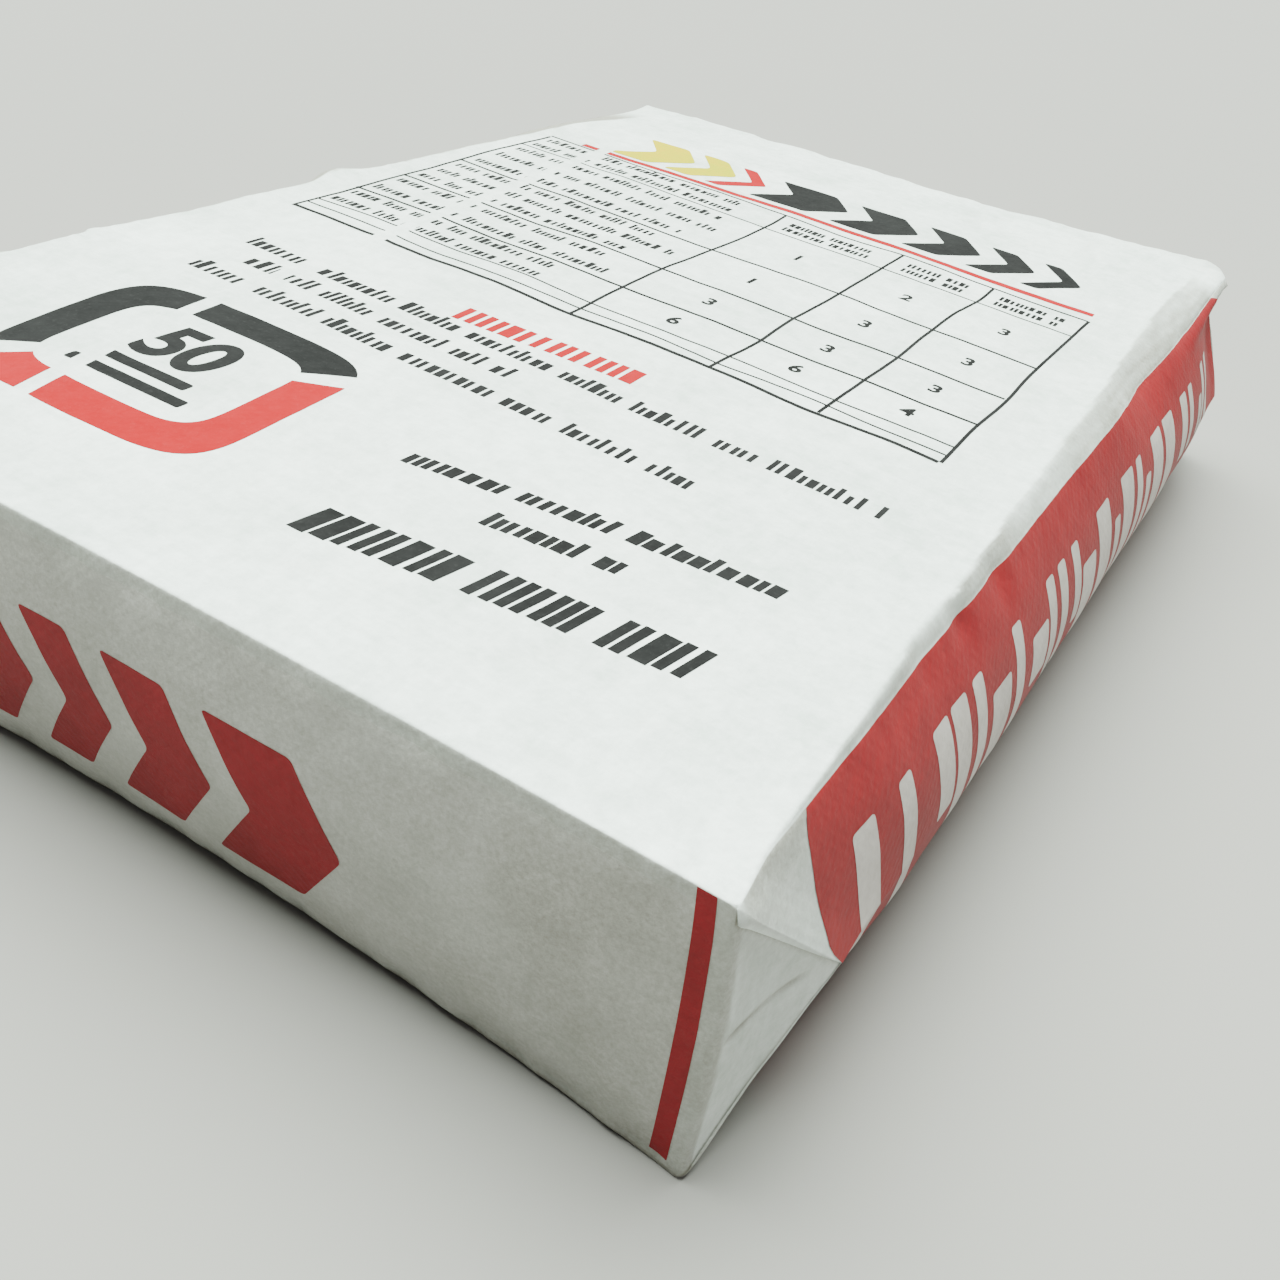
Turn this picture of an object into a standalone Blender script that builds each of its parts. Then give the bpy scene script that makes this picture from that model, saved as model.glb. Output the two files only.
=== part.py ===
"""A filled 50 kg cement sack lying on its back.

The sack is a block-bottom valve sack: a tube of laminated woven polypropylene, folded square at
both ends, closed by a welded cover patch on each end, with a flat valve sleeve in one far corner.
Metres, +Z up. +X is across the sack, +Y along it, and the origin is the middle of the underside.
The near end, at -Y, is the plain folded bottom, and the far end, at +Y, is the valve end.
"""

import bmesh
import bpy
import numpy as np

# The filled sack, from fold to fold: a flat tube 500 mm wide, less the 110 mm of its folded ends
TUBE_WIDTH = 0.500
END_FOLD = 0.111
WIDTH = TUBE_WIDTH - END_FOLD
LENGTH = 0.620
CORNER_HEIGHT = 0.1015

# How the fill swells the cloth
CROWN = 0.0095
SIDE_SWELL = 0.0175
END_SWELL = 0.005
FOOT_SPREAD = 0.0045
SWELL_RUN = 0.080
CROWN_RUN = 0.130
END_EDGE_BOW = 0.003

# The soft shoulder between the face and the side
SHOULDER_DROP = 0.0055
SHOULDER_WIDTH = 0.018

# The folded triangle on each side at each end, from the end's upright edge to an apex halfway up the side
EAR_REACH = 0.049
EAR_SWELL = 0.0155

# The lower edge of each end curves under
TUCK = 0.008
TUCK_RISE = 0.003
TUCK_RUN = 0.030

# The valve corner, at +X +Y: the side is drawn in below it, and the face lifts and stands out over it
VALVE_PINCH = 0.0115
VALVE_PINCH_RUN = 0.110
VALVE_LIP_START = 0.75
VALVE_LIFT = 0.008

# The cloth, thicker than the real 0.2 mm so that it is a sound solid, and the gap between pieces
CLOTH = 0.0010
GAP = 0.0003

# The welded cover patches, and how far inside the end's edges they stop
PATCH_CLOTH = 0.0008
PATCH_SIDE_MARGIN = 0.006
PATCH_TOP_MARGIN = 0.005

# The valve sleeve: a flattened tube behind the far end, with its mouth just outside the corner
SLEEVE_CLOTH = 0.0006
SLEEVE_THICKNESS = 0.0018
SLEEVE_CLEARANCE = 0.0004
SLEEVE_MOUTH = 0.004
SLEEVE_START = 0.45
SLEEVE_HALF = 0.70
SLEEVE_SEAM = 0.06

HALF_WIDTH = WIDTH / 2
HALF_LENGTH = LENGTH / 2


def smooth(t):
    """Rises from 0 to 1 as t does, level at both ends."""
    t = np.clip(t, 0.0, 1.0)
    return t * t * (3.0 - 2.0 * t)


def sack_point(u, v, w, inset=0.0):
    """Maps a point of the cube -1..1 onto the filled sack, that much inside its outer surface.

    u runs across, v along and w up, so u = 1 is the right side, v = 1 the valve end and w = 1 the face.
    """
    half_width, half_length = HALF_WIDTH - inset, HALF_LENGTH - inset
    from_end = half_length * (1.0 - abs(v))

    # The side is flat over the ear, up to the two creases that meet at its apex, and swells past them
    crease = EAR_REACH * (1.0 - abs(w))
    at_crease = EAR_SWELL * (1.0 - abs(w))
    if from_end < crease:
        swell = EAR_SWELL * from_end / EAR_REACH
    else:
        full = SIDE_SWELL * (1.0 - w * w)
        swell = at_crease + (full - at_crease) * smooth((from_end - crease) / SWELL_RUN)
    foot = FOOT_SPREAD * (1.0 - ((w + 1.0) / 2.0) ** 3)

    # The valve corner is drawn in at the side, but for its top edge, which stands out as a lip
    at_valve = smooth((u + 0.2) / 1.2) * smooth(1.0 - (half_length - half_length * v) / VALVE_PINCH_RUN)
    under_lip = smooth((w + 1.0) / 2.0) * (1.0 - smooth((w - VALVE_LIP_START) / (1.0 - VALVE_LIP_START)))
    pinch = VALVE_PINCH * at_valve * under_lip * max(u, 0.0)
    x = u * (half_width + swell + foot) - pinch

    bulge = END_SWELL * (1.0 - w * w) * (1.0 - u ** 4)
    under = TUCK * (1.0 - u * u) * ((1.0 - w) / 2.0) ** 3
    y = v * (half_length + bulge - under)

    settled = smooth(from_end / CROWN_RUN)
    into_shoulder = np.clip((abs(u) * half_width - half_width + SHOULDER_WIDTH) / SHOULDER_WIDTH, 0.0, 1.0)
    drop = SHOULDER_DROP * settled * into_shoulder ** 2
    crown = CROWN * settled * (1.0 - 0.12 * u * u) + END_EDGE_BOW * (1.0 - settled) * (1.0 - u * u)
    lift = VALVE_LIFT * smooth((u - 0.1) / 0.9) * smooth((v - 0.55) / 0.45)
    top = CORNER_HEIGHT - inset + crown + lift - drop
    bottom = inset + drop + TUCK_RISE * (1.0 - u * u) * smooth(1.0 - from_end / TUCK_RUN)
    z = bottom + (top - bottom) * (w + 1.0) / 2.0
    return float(x), float(y), float(z)


def mirrored(stations):
    """Adds the mirror image of stations that run from -1 to 0."""
    return stations + [-s for s in reversed(stations[:-1])]


def cube_stations():
    """The lines of the net over the sack, which meet the creases of the ears corner to corner."""
    edges = [-1.0, -1.0 + PATCH_SIDE_MARGIN / HALF_WIDTH, -1.0 + SHOULDER_WIDTH / HALF_WIDTH]
    across = mirrored(edges + [-0.68, -0.45, -0.22, 0.0])
    up = mirrored([-1.0, -1.0 + 2.0 * PATCH_TOP_MARGIN / CORNER_HEIGHT, -0.7, -0.35, 0.0])
    ear = [EAR_REACH * (1.0 + w) for w in up if w <= 0.0]
    along = mirrored([d / HALF_LENGTH - 1.0 for d in ear + [0.080, 0.115, 0.160, 0.210, 0.260, HALF_LENGTH]])
    return across, along, up


def add_triangles(mesh, ring, middle, outward):
    """Cuts a quad of the net in two, along the line that points at the nearest corner of the sack."""
    if (middle[0] < 0.0) == (middle[1] > 0.0):
        ring = ring[1:] + ring[:1]
    for half in ((ring[0], ring[1], ring[2]), (ring[0], ring[2], ring[3])):
        mesh.faces.new(half if outward else half[::-1])


def add_net(mesh, inset, outward=True, end_gap=0.0):
    """Adds the closed net of triangles over the sack at an inset, its far end drawn in by end_gap."""
    stations = cube_stations()
    corners = {}

    def corner(place):
        if place not in corners:
            x, y, z = sack_point(*place, inset)
            corners[place] = mesh.verts.new((x, y - end_gap * (place[1] == 1.0), z))
        return corners[place]

    for fixed in range(3):
        first, second = (fixed + 1) % 3, (fixed + 2) % 3
        for side in (-1.0, 1.0):
            for a0, a1 in zip(stations[first], stations[first][1:]):
                for b0, b1 in zip(stations[second], stations[second][1:]):
                    ring = []
                    for a, b in ((a0, b0), (a1, b0), (a1, b1), (a0, b1)):
                        place = [0.0, 0.0, 0.0]
                        place[fixed], place[first], place[second] = side, a, b
                        ring.append(corner(tuple(place)))
                    add_triangles(mesh, ring, (a0 + a1, b0 + b1), (side > 0.0) == outward)


def add_end_layer(mesh, across, up, v, inset, outward):
    """Adds a sheet that follows the end v at an inset, on the same net, and returns its grid of vertices.

    across is a list of (u, past), where past is how far the point stands straight out beyond u = 1.
    """
    grid = []
    for u, past in across:
        column = []
        for w in up:
            x, y, z = sack_point(u, v, w, inset)
            column.append(mesh.verts.new((x + past, y, z)))
        grid.append(column)
    for i in range(len(across) - 1):
        for j in range(len(up) - 1):
            ring = [grid[i][j], grid[i][j + 1], grid[i + 1][j + 1], grid[i + 1][j]]
            middle = (up[j] + up[j + 1], across[i][0] + across[i + 1][0])
            add_triangles(mesh, ring, middle, (v > 0.0) == outward)
    return grid


def bridge(mesh, first, second, closed):
    """Joins two equal rows of vertices with triangles, round to the start again if they are closed rings."""
    count = len(first)
    for k in range(count if closed else count - 1):
        after = (k + 1) % count
        mesh.faces.new((first[k], first[after], second[after]))
        mesh.faces.new((first[k], second[after], second[k]))


def new_object(name, mesh, material):
    """Turns a bmesh into a named object with its material."""
    data = bpy.data.meshes.new(name)
    mesh.to_mesh(data)
    mesh.free()
    data.materials.append(material)
    piece = bpy.data.objects.new(name, data)
    bpy.context.scene.collection.objects.link(piece)
    return piece


def new_material(name, colour, roughness):
    """A Principled material with one colour, for a surface that isn't metal."""
    material = bpy.data.materials.new(name)
    material.use_nodes = True
    shader = material.node_tree.nodes["Principled BSDF"]
    shader.inputs["Base Color"].default_value = (*colour, 1.0)
    shader.inputs["Roughness"].default_value = roughness
    shader.inputs["Metallic"].default_value = 0.0
    material.diffuse_color = (*colour, 1.0)
    return material


def make_sack_body(material):
    """The tube of cloth with its folded ends, and the slot of the valve in its far right corner."""
    mesh = bmesh.new()
    add_net(mesh, 0.0)
    add_net(mesh, CLOTH, outward=False)
    body = new_object("sack_body", mesh, material)

    front = CLOTH + SLEEVE_CLEARANCE - GAP
    back = CLOTH + SLEEVE_CLEARANCE + SLEEVE_THICKNESS + GAP
    low = sack_point(1.0, 1.0, -SLEEVE_HALF)[2] - GAP
    high = sack_point(1.0, 1.0, SLEEVE_HALF)[2] + GAP
    reach = 0.012
    cutter_mesh = bmesh.new()
    bmesh.ops.create_cube(cutter_mesh, size=1.0)
    bmesh.ops.scale(cutter_mesh, vec=(2 * reach, back - front, high - low), verts=cutter_mesh.verts[:])
    cutter = new_object("valve_slot_cutter", cutter_mesh, material)
    cutter.location = (HALF_WIDTH, HALF_LENGTH - (front + back) / 2, (low + high) / 2)
    cutter.hide_render = True
    cutter.display_type = "WIRE"

    slot = body.modifiers.new("valve_slot", "BOOLEAN")
    slot.operation = "DIFFERENCE"
    slot.solver = "EXACT"
    slot.object = cutter
    return body


def make_cement_fill(material):
    """The cement, one plain core that fills the sack and leaves room for the sleeve behind the valve end."""
    mesh = bmesh.new()
    add_net(mesh, CLOTH + GAP, end_gap=SLEEVE_CLEARANCE + SLEEVE_THICKNESS + GAP)
    return new_object("cement_fill", mesh, material)


def rim(grid):
    """The vertices round the edge of a grid, in order."""
    bottom = [column[0] for column in grid]
    top = [column[-1] for column in grid]
    return bottom + grid[-1][1:-1] + top[::-1] + grid[0][-2:0:-1]


def make_cover_patch(name, v, material):
    """The cover patch welded over a folded end, a sheet that follows the end's swell."""
    across, _, up = cube_stations()
    inside = [(u, 0.0) for u in across[1:-1]]
    mesh = bmesh.new()
    under = add_end_layer(mesh, inside, up[1:-1], v, -GAP, outward=False)
    over = add_end_layer(mesh, inside, up[1:-1], v, -GAP - PATCH_CLOTH, outward=True)
    bridge(mesh, rim(under), rim(over), closed=True)
    bmesh.ops.recalc_face_normals(mesh, faces=mesh.faces[:])
    return new_object(name, mesh, material)


def make_valve_sleeve(material):
    """The valve's flattened tube: two layers joined top and bottom, open at both ends."""
    across, _, up = cube_stations()
    outer_up = [w for w in up if abs(w) <= SLEEVE_HALF]
    inner_up = [w * (1.0 - SLEEVE_SEAM) for w in outer_up]
    path = [(u, 0.0) for u in across if u >= SLEEVE_START] + [(1.0, SLEEVE_MOUTH)]
    front = CLOTH + SLEEVE_CLEARANCE
    mesh = bmesh.new()
    outer = [
        add_end_layer(mesh, path, outer_up, 1.0, front, outward=True),
        add_end_layer(mesh, path, outer_up, 1.0, front + SLEEVE_THICKNESS, outward=False),
    ]
    inner = [
        add_end_layer(mesh, path, inner_up, 1.0, front + SLEEVE_CLOTH, outward=False),
        add_end_layer(mesh, path, inner_up, 1.0, front + SLEEVE_THICKNESS - SLEEVE_CLOTH, outward=True),
    ]
    for first, second in (outer, inner):
        for j in (0, -1):
            bridge(mesh, [column[j] for column in first], [column[j] for column in second], closed=False)
    for i in (0, -1):
        rings = [first[i] + second[i][::-1] for first, second in (outer, inner)]
        bridge(mesh, rings[0], rings[1], closed=True)
    bmesh.ops.recalc_face_normals(mesh, faces=mesh.faces[:])
    return new_object("valve_sleeve", mesh, material)


def main():
    """Clears the scene and makes the sack's five pieces."""
    for old in list(bpy.data.objects):
        bpy.data.objects.remove(old, do_unlink=True)

    woven = new_material("laminated_woven_polypropylene", (0.82, 0.85, 0.84), 0.55)
    patch_film = new_material("welded_patch_polypropylene", (0.76, 0.78, 0.76), 0.5)
    sleeve_film = new_material("valve_sleeve_polypropylene", (0.85, 0.85, 0.83), 0.5)
    cement = new_material("cement_powder", (0.36, 0.36, 0.35), 0.95)

    make_sack_body(woven)
    make_cement_fill(cement)
    make_cover_patch("bottom_cover_patch", -1.0, patch_film)
    make_cover_patch("valve_end_cover_patch", 1.0, patch_film)
    make_valve_sleeve(sleeve_film)


main()
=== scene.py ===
"""The looks of a filled 50 kg cement sack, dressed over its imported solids.

The sack is a block-bottom valve sack of laminated woven polypropylene, lying on its back. Everything is in
metres: +X across the sack, +Y along it towards the valve end, +Z up out of the printed face. Every surface
is a function of a point on the cube -1..1 (SackShape): the skin, the welded patches and the ink share its
folds and wrinkles, and the valve sleeve and the cement follow its swell.
"""

import logging
import math
from dataclasses import dataclass, field, replace
from enum import Enum
from itertools import product
from typing import Callable

import bmesh
import bpy
import numpy as np
from mathutils import Matrix, Vector

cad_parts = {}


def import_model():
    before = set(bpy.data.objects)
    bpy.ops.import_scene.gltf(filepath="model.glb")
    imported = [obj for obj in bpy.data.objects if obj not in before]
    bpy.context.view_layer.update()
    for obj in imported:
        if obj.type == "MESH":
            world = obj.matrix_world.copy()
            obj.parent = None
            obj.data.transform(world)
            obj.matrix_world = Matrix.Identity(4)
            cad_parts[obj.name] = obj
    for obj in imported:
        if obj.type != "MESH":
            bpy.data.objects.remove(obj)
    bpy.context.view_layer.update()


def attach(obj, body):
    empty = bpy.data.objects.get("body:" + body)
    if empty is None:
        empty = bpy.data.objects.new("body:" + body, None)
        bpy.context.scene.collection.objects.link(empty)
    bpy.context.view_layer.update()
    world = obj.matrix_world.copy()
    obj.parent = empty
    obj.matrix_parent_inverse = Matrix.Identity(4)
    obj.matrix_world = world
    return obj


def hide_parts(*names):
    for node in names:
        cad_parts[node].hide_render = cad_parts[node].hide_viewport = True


MM = 0.001
EVEN = math.inf
PHOTO_PIXELS = 1280
log = logging.getLogger("cement_sack")

Array = np.ndarray
Arrays = tuple[Array, Array, Array]
Place = tuple[float, float, float]
Spot = tuple[float, float]
Numbers = tuple[float, ...]
Random = np.random.Generator
Material = bpy.types.Material
Mesh = bpy.types.Mesh
Piece = bpy.types.Object
Socket = bpy.types.NodeSocket


class Side(Enum):
    """The sack's six faces: the cube coordinate that each one fixes, and the value that it fixes it at."""

    FACE = (2, 1.0)
    BACK = (2, -1.0)
    RIGHT = (0, 1.0)
    LEFT = (0, -1.0)
    BOTTOM_END = (1, -1.0)
    VALVE_END = (1, 1.0)


class Ripple(Enum):
    """Kinds of soft noise: height, size in millimetres along x, y and z, and shift in lattice steps."""

    PILLOW = (0.8 * MM, (62, 78, 50), (0, 0, 0))
    LUMP = (1.0 * MM, (15, 17, 14), (7.3, 0, 0))
    CRUMPLE = (0.05 * MM, (6, 6.5, 6), (0, 3.1, 0))
    RIDGE = (1.0, (30, 9, 26), (0, 0, 5.7))
    SHOULDER_WAVE = (0.8 * MM, (90, 38, 90), (0, 9.4, 0))
    END_WAVE = (0.55 * MM, (24, EVEN, EVEN), (0, 2.7, 0.4))
    END_CRIMP = (6.0, (14, EVEN, EVEN), (0, 4.1, 0.9))
    CORNER_WAVE = (1.3 * MM, (26, 20, 20), (0, 0, 2.2))
    CORNER_CRUMPLE = (0.5 * MM, (9, 9, 9), (0, 0, 0))
    LONG_STREAK = (1.0, (3.5, 30, 4), (0, 0, 0))
    SHORT_STREAK = (0.6, (4, 7, EVEN), (0, 0, 3.3))
    DUST_CLOUD = (0.06, (30, 30, 24), (0, 0, 1.3))


def mm(*lengths: float) -> Numbers:
    """Turns millimetres into metres."""
    return tuple(length * MM for length in lengths)


def smooth(t: Array) -> Array:
    """Rises from 0 to 1 as t does, level at both ends."""
    t = np.clip(t, 0.0, 1.0)
    return t * t * (3.0 - 2.0 * t)


def ramp(t: Array, start: Array, span: float) -> Array:
    """Rises from 0 at the start to 1 a span past it, level at both ends."""
    return smooth((t - start) / span)


def close(away: Array, reach: Array) -> Array:
    """Falls straight from 1 where a distance is 0 to 0 at the reach."""
    return np.clip(1.0 - away / reach, 0.0, 1.0)


def near(away: Array, reach: Array) -> Array:
    """Falls from 1 where a distance is 0 to 0 at the reach, level at both ends."""
    return smooth(close(away, reach))


def bell(away: Array, spread: float) -> Array:
    """Falls from 1 where a distance is 0 as the exponential of minus its square, counted in spreads."""
    return np.exp(-((away / spread) ** 2))


def graded(length: float, first: float, widest: float, growth: float = 1.3) -> Array:
    """Gives distances from 0 to a length, whose steps grow from the first to the widest and then stay."""
    steps = [first]
    while sum(steps) < length:
        steps.append(min(steps[-1] * growth, widest))
    marks = np.concatenate([[0.0], np.cumsum(steps)])
    return marks * length / marks[-1]


def mirrored(marks: Array, length: float) -> Array:
    """Carries distances from 0 to the middle of a length on to its end, in mirror image."""
    return np.concatenate([marks, length - marks[-2::-1]])


class SoftNoise:
    """Gradient noise: smooth random relief from about -1 to 1, from seeded slopes on a lattice."""

    LATTICE = 32
    GAIN = 1.6

    def __init__(self, seed: int) -> None:
        """Fills the table of slopes from a seed."""
        slopes = np.random.default_rng(seed).normal(size=(self.LATTICE,) * 3 + (3,))
        self.slopes = slopes / np.linalg.norm(slopes, axis=-1, keepdims=True)

    def at(self, x: Array, y: Array, z: Array) -> Array:
        """Blends the eight slopes round each point, times the way from their places, in lattice steps."""
        place = np.stack(np.broadcast_arrays(x, y, z), axis=-1)
        cell = np.floor(place).astype(int)
        part = place - cell
        fade = part**3 * (part * (part * 6.0 - 15.0) + 10.0)
        total = np.zeros(place.shape[:-1])
        for corner in product((0, 1), repeat=3):
            step = np.array(corner)
            index = np.moveaxis((cell + step) % self.LATTICE, -1, 0)
            weight = np.prod(np.where(step == 1, fade, 1.0 - fade), axis=-1)
            total += weight * np.sum(self.slopes[tuple(index)] * (part - step), axis=-1)
        return total * self.GAIN

    def ripple(self, kind: Ripple, place: Arrays) -> Array:
        """The noise of one kind at places on the sack."""
        height, size, shift = kind.value
        return height * self.at(*(p / (s * MM) + d for p, s, d in zip(place, size, shift)))


@dataclass(frozen=True)
class Dent:
    """A round push in or out of the cloth, centred at a place and spread that far along each axis."""

    place: Place
    spread: Place
    height: float

    def relief(self, x: Array, y: Array, z: Array) -> Array:
        """Falls away from the centre as the exponential of minus the squared distance in spreads."""
        far = [((p - c) / s) ** 2 for p, c, s in zip((x, y, z), self.place, self.spread)]
        return self.height * np.exp(-sum(far))


@dataclass(frozen=True)
class Crease:
    """A straight ridge, or a furrow where its height is negative, and how much painted shade and dirt darken
    it.
    """

    start: Place
    end: Place
    width: float
    height: float
    painted_shade_and_dirt: float
    fade_out: float = 0.25

    def relief(self, x: Array, y: Array, z: Array) -> Array:
        """Is strongest on the line and falls off with distance, and the line fades out at its two ends."""
        start, run = np.array(self.start), np.array(self.end) - np.array(self.start)
        way = np.stack(np.broadcast_arrays(x, y, z), axis=-1) - start
        along = np.clip(way @ run / (run @ run), 0.0, 1.0)
        off = np.linalg.norm(way - along[..., None] * run, axis=-1)
        fade = smooth(along / self.fade_out) * smooth((1.0 - along) / self.fade_out)
        return self.height * bell(off, self.width) * fade


@dataclass(frozen=True)
class SackShape:
    """The filled sack as a function of a point (u, v, w) on the cube -1..1: u across, v along and w up."""

    width: float = 389 * MM
    length: float = 620 * MM
    corner_height: float = 101.5 * MM
    crown: float = 9.5 * MM
    crown_run: float = 130 * MM
    side_swell: float = 17.5 * MM
    swell_run: float = 80 * MM
    end_swell: float = 5 * MM
    end_edge_bow: float = 3 * MM
    foot_spread: float = 4.5 * MM
    foot_width: float = 18 * MM
    corner_flare: float = 2.4 * MM
    flare_run: float = 25 * MM
    shoulder_drop: float = 5.5 * MM
    shoulder_wave_reach: float = 26 * MM
    shoulder_ridge: float = 0.30 * MM
    end_wave_reach: float = 14 * MM
    end_crimp: Spot = (0.9 * MM, 0.35 * MM)
    band_from_end: Numbers = (
        0.0, 0.052, 0.099, 0.112, 0.116, 0.154, 0.156, 0.163, 0.203, 0.215, 0.260, 0.345, 0.428, 0.506, 0.620,
    )
    band_width: Numbers = (
        0.0010, 0.0012, 0.0027, 0.0030, 0.0046, 0.0046, 0.0022, 0.0044, 0.0058, 0.0070, 0.0078, 0.0106,
        0.0145, 0.0179, 0.0145,
    )
    # How much dust and painted shade lie in the bands, at each place along the sack.
    band_dust_and_shade: Numbers = (
        0.45, 0.45, 0.45, 0.45, 0.45, 0.50, 0.50, 0.70, 0.75, 0.50, 0.35, 0.70, 0.78, 0.65, 0.60,
    )
    band_bend: float = 1.2
    band_ridge: float = 0.5 * MM
    band_ridge_width: float = 5 * MM
    band_jag: float = 0.4 * MM
    band_jag_size: float = 8 * MM
    band_edge: float = 0.7 * MM
    band_lip: float = 0.8 * MM
    band_fade: Spot = (25 * MM, 40 * MM)
    ear_reach: float = 49 * MM
    ear_swell: float = 15.5 * MM
    ear_hollow: float = 0.7 * MM
    tuck: float = 8 * MM
    tuck_rise: float = 3 * MM
    tuck_run: float = 30 * MM
    valve_pinch: float = 11.5 * MM
    valve_pinch_run: float = 140 * MM
    valve_pinch_foot: float = -0.1
    valve_pinch_rise: float = 0.75
    valve_lip_start: float = 0.78
    valve_lip_rise: float = 0.16
    valve_round: float = 2.2 * MM
    valve_lift: float = 8 * MM
    valve_corner_pull: float = 8.4 * MM
    valve_corner_reach: float = 20 * MM
    flap_lift: float = 2.3 * MM
    flap_overhang: float = 5 * MM
    lower_flap: float = 0.35
    flap_fade: float = 16 * MM
    layer_height: Numbers = (0.0, 0.0208, 0.062, 0.069, 0.1015)
    layer_edge: Numbers = (0.1720, 0.1695, 0.1375, 0.1305, 0.1265)
    layer_rise: float = 0.45 * MM
    layer_slope: float = 3 * MM
    patch_side_margin: float = 6 * MM
    patch_top_margin: float = 5 * MM
    patch_rise: float = 0.14 * MM
    patch_taper: float = 3 * MM
    pleat_near: Spot = (-103 * MM, 90 * MM)
    pleat_slant: float = -0.088
    pleat_width: float = 7 * MM
    pleat_height: float = 0.35 * MM
    pleat_fade: float = 40 * MM
    pressed_relief: float = 0.15
    # Dust and painted shade: a film of both on the ends and sides, and painted shade under the shoulder
    # beside an ear, in the roll of the face's edge at each end, at the foot and at the valve corner.
    film_dust_and_shade: float = 0.33
    end_dust_and_shade: float = 0.35
    painted_shade_under_shoulder: float = 0.5
    under_shoulder: float = 14 * MM
    painted_shade_in_roll: float = 0.2
    painted_shade_at_foot: float = 0.5
    foot_reach: float = 3 * MM
    valve_shade_reach: float = 50 * MM
    dents: tuple[Dent, ...] = ()
    creases: tuple[Crease, ...] = ()
    noise: SoftNoise = field(default_factory=lambda: SoftNoise(11))

    @property
    def half_width(self) -> float:
        """Half of the width from fold to fold."""
        return self.width / 2

    @property
    def half_length(self) -> float:
        """Half of the length from fold to fold."""
        return self.length / 2

    @property
    def halves(self) -> Place:
        """Half of the width, of the length and of the height at the corners."""
        return self.half_width, self.half_length, self.corner_height / 2

    def to_folds(self, u: Array, v: Array, w: Array) -> Arrays:
        """The distances to the nearer side, to the nearer end, and to the face or the back."""
        return tuple((1.0 - np.abs(c)) * half for c, half in zip((u, v, w), self.halves))

    def ear_edge(self, w: Array) -> Array:
        """How far from the end the crease of the ear runs, from 0 at a corner to the apex halfway up."""
        return self.ear_reach * (1.0 - np.abs(w))

    def band(self, v: Array) -> Array:
        """How wide the sloping band beside the face's long folds is, at each place along the sack."""
        return np.interp((v + 1.0) * self.half_length, self.band_from_end, self.band_width)

    def base(self, u: Array, v: Array, w: Array, inset: float = 0.0) -> Arrays:
        """Maps the cube onto the filled sack without its wrinkles, by the same rule as the solids.

        The sides swell past the flat ears, the corners flare a little, the face is crowned away from the
        ends and drops at the shoulders, the ends bulge and curve under, and the valve corner is drawn in
        below a raised lip that turns round and down at its tip.

        Args:
            u, v, w: The point of the cube.
            inset: How far inside the outer surface.

        Returns:
            x, y and z of the sack.
        """
        half_width, half_length = self.half_width - inset, self.half_length - inset
        from_side, from_end = half_width * (1.0 - np.abs(u)), half_length * (1.0 - np.abs(v))
        inner_u, inner_w = 1.0 - u * u, 1.0 - w * w
        crease = self.ear_edge(w)
        at_crease = self.ear_swell * (1.0 - np.abs(w))
        past = at_crease + (self.side_swell * inner_w - at_crease) * ramp(from_end, crease, self.swell_run)
        swell = np.where(from_end < crease, self.ear_swell * from_end / self.ear_reach, past)
        foot = self.foot_spread * (1.0 - ((w + 1.0) / 2.0) ** 3)
        at_valve = ramp(u, -0.2, 1.2) * near(half_length * (1.0 - v), self.valve_pinch_run)
        below_lip = 1.0 - ramp(w, self.valve_lip_start, self.valve_lip_rise)
        drawn = ramp(w, self.valve_pinch_foot, self.valve_pinch_rise) * below_lip
        pinch = self.valve_pinch * at_valve * drawn * np.maximum(u, 0.0)
        flare = self.corner_flare * near(from_end, self.flare_run)
        to_corner = (1.0 - u) * self.half_width + (1.0 - v) * self.half_length
        turned = self.valve_corner_pull * close(to_corner, self.valve_corner_reach) ** 2
        turned_in = 0.7 * turned * ramp(w, 0.4, 0.5)
        x = u * (half_width + swell + flare + foot) - pinch - turned_in

        bulge = self.end_swell * inner_w * (1.0 - u**4)
        under = self.tuck * inner_u * ((1.0 - w) / 2.0) ** 3
        y = v * (half_length + bulge - under) - turned_in

        settled = smooth(from_end / self.crown_run)
        drop = self.shoulder_drop * settled * close(from_side, self.band(v)) ** self.band_bend
        crown = self.crown * settled * (1.0 - 0.12 * u * u) + self.end_edge_bow * (1.0 - settled) * inner_u
        lift = self.valve_lift * ramp(u, 0.1, 0.9) * ramp(v, 0.55, 0.45)
        top = self.corner_height - inset + crown + lift - drop - 0.5 * turned
        rise = self.tuck_rise * inner_u * near(from_end, self.tuck_run)
        bottom = inset + self.shoulder_drop * settled * close(from_side, self.foot_width) ** 2 + rise
        return x, y, bottom + (top - bottom) * (w + 1.0) / 2.0

    def outward(self, u: Array, v: Array, w: Array) -> Array:
        """The way out of the sack: each axis by its coordinate's twelfth power, so it turns at the folds."""
        axes = np.stack(np.broadcast_arrays(u, v, w), axis=-1)
        way = np.sign(axes) * np.abs(axes) ** 12
        return way / np.linalg.norm(way, axis=-1, keepdims=True)

    def rounding(self, u: Array, v: Array, w: Array) -> Array:
        """How far the cloth is pulled in to round each fold: most on the fold, falling to 0 at the reach."""
        to_side, to_end, to_face = self.to_folds(u, v, w)
        at_valve = smooth(u / 0.8) * smooth(v / 0.8) * ramp(w, 0.4, 0.5)
        folds = (
            (to_side + to_face, (0.15 + 0.3 * near(to_end, 90 * MM)) * MM, 1.8 * MM),
            (to_end + to_face, 0.35 * MM, 1.2 * MM),
            (to_side + to_end, 0.7 * MM, 2.4 * MM),
            (to_side + to_face, self.valve_round * at_valve, 9.0 * MM),
        )
        return sum(pull * close(away, reach) ** 2 for away, pull, reach in folds)

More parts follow.
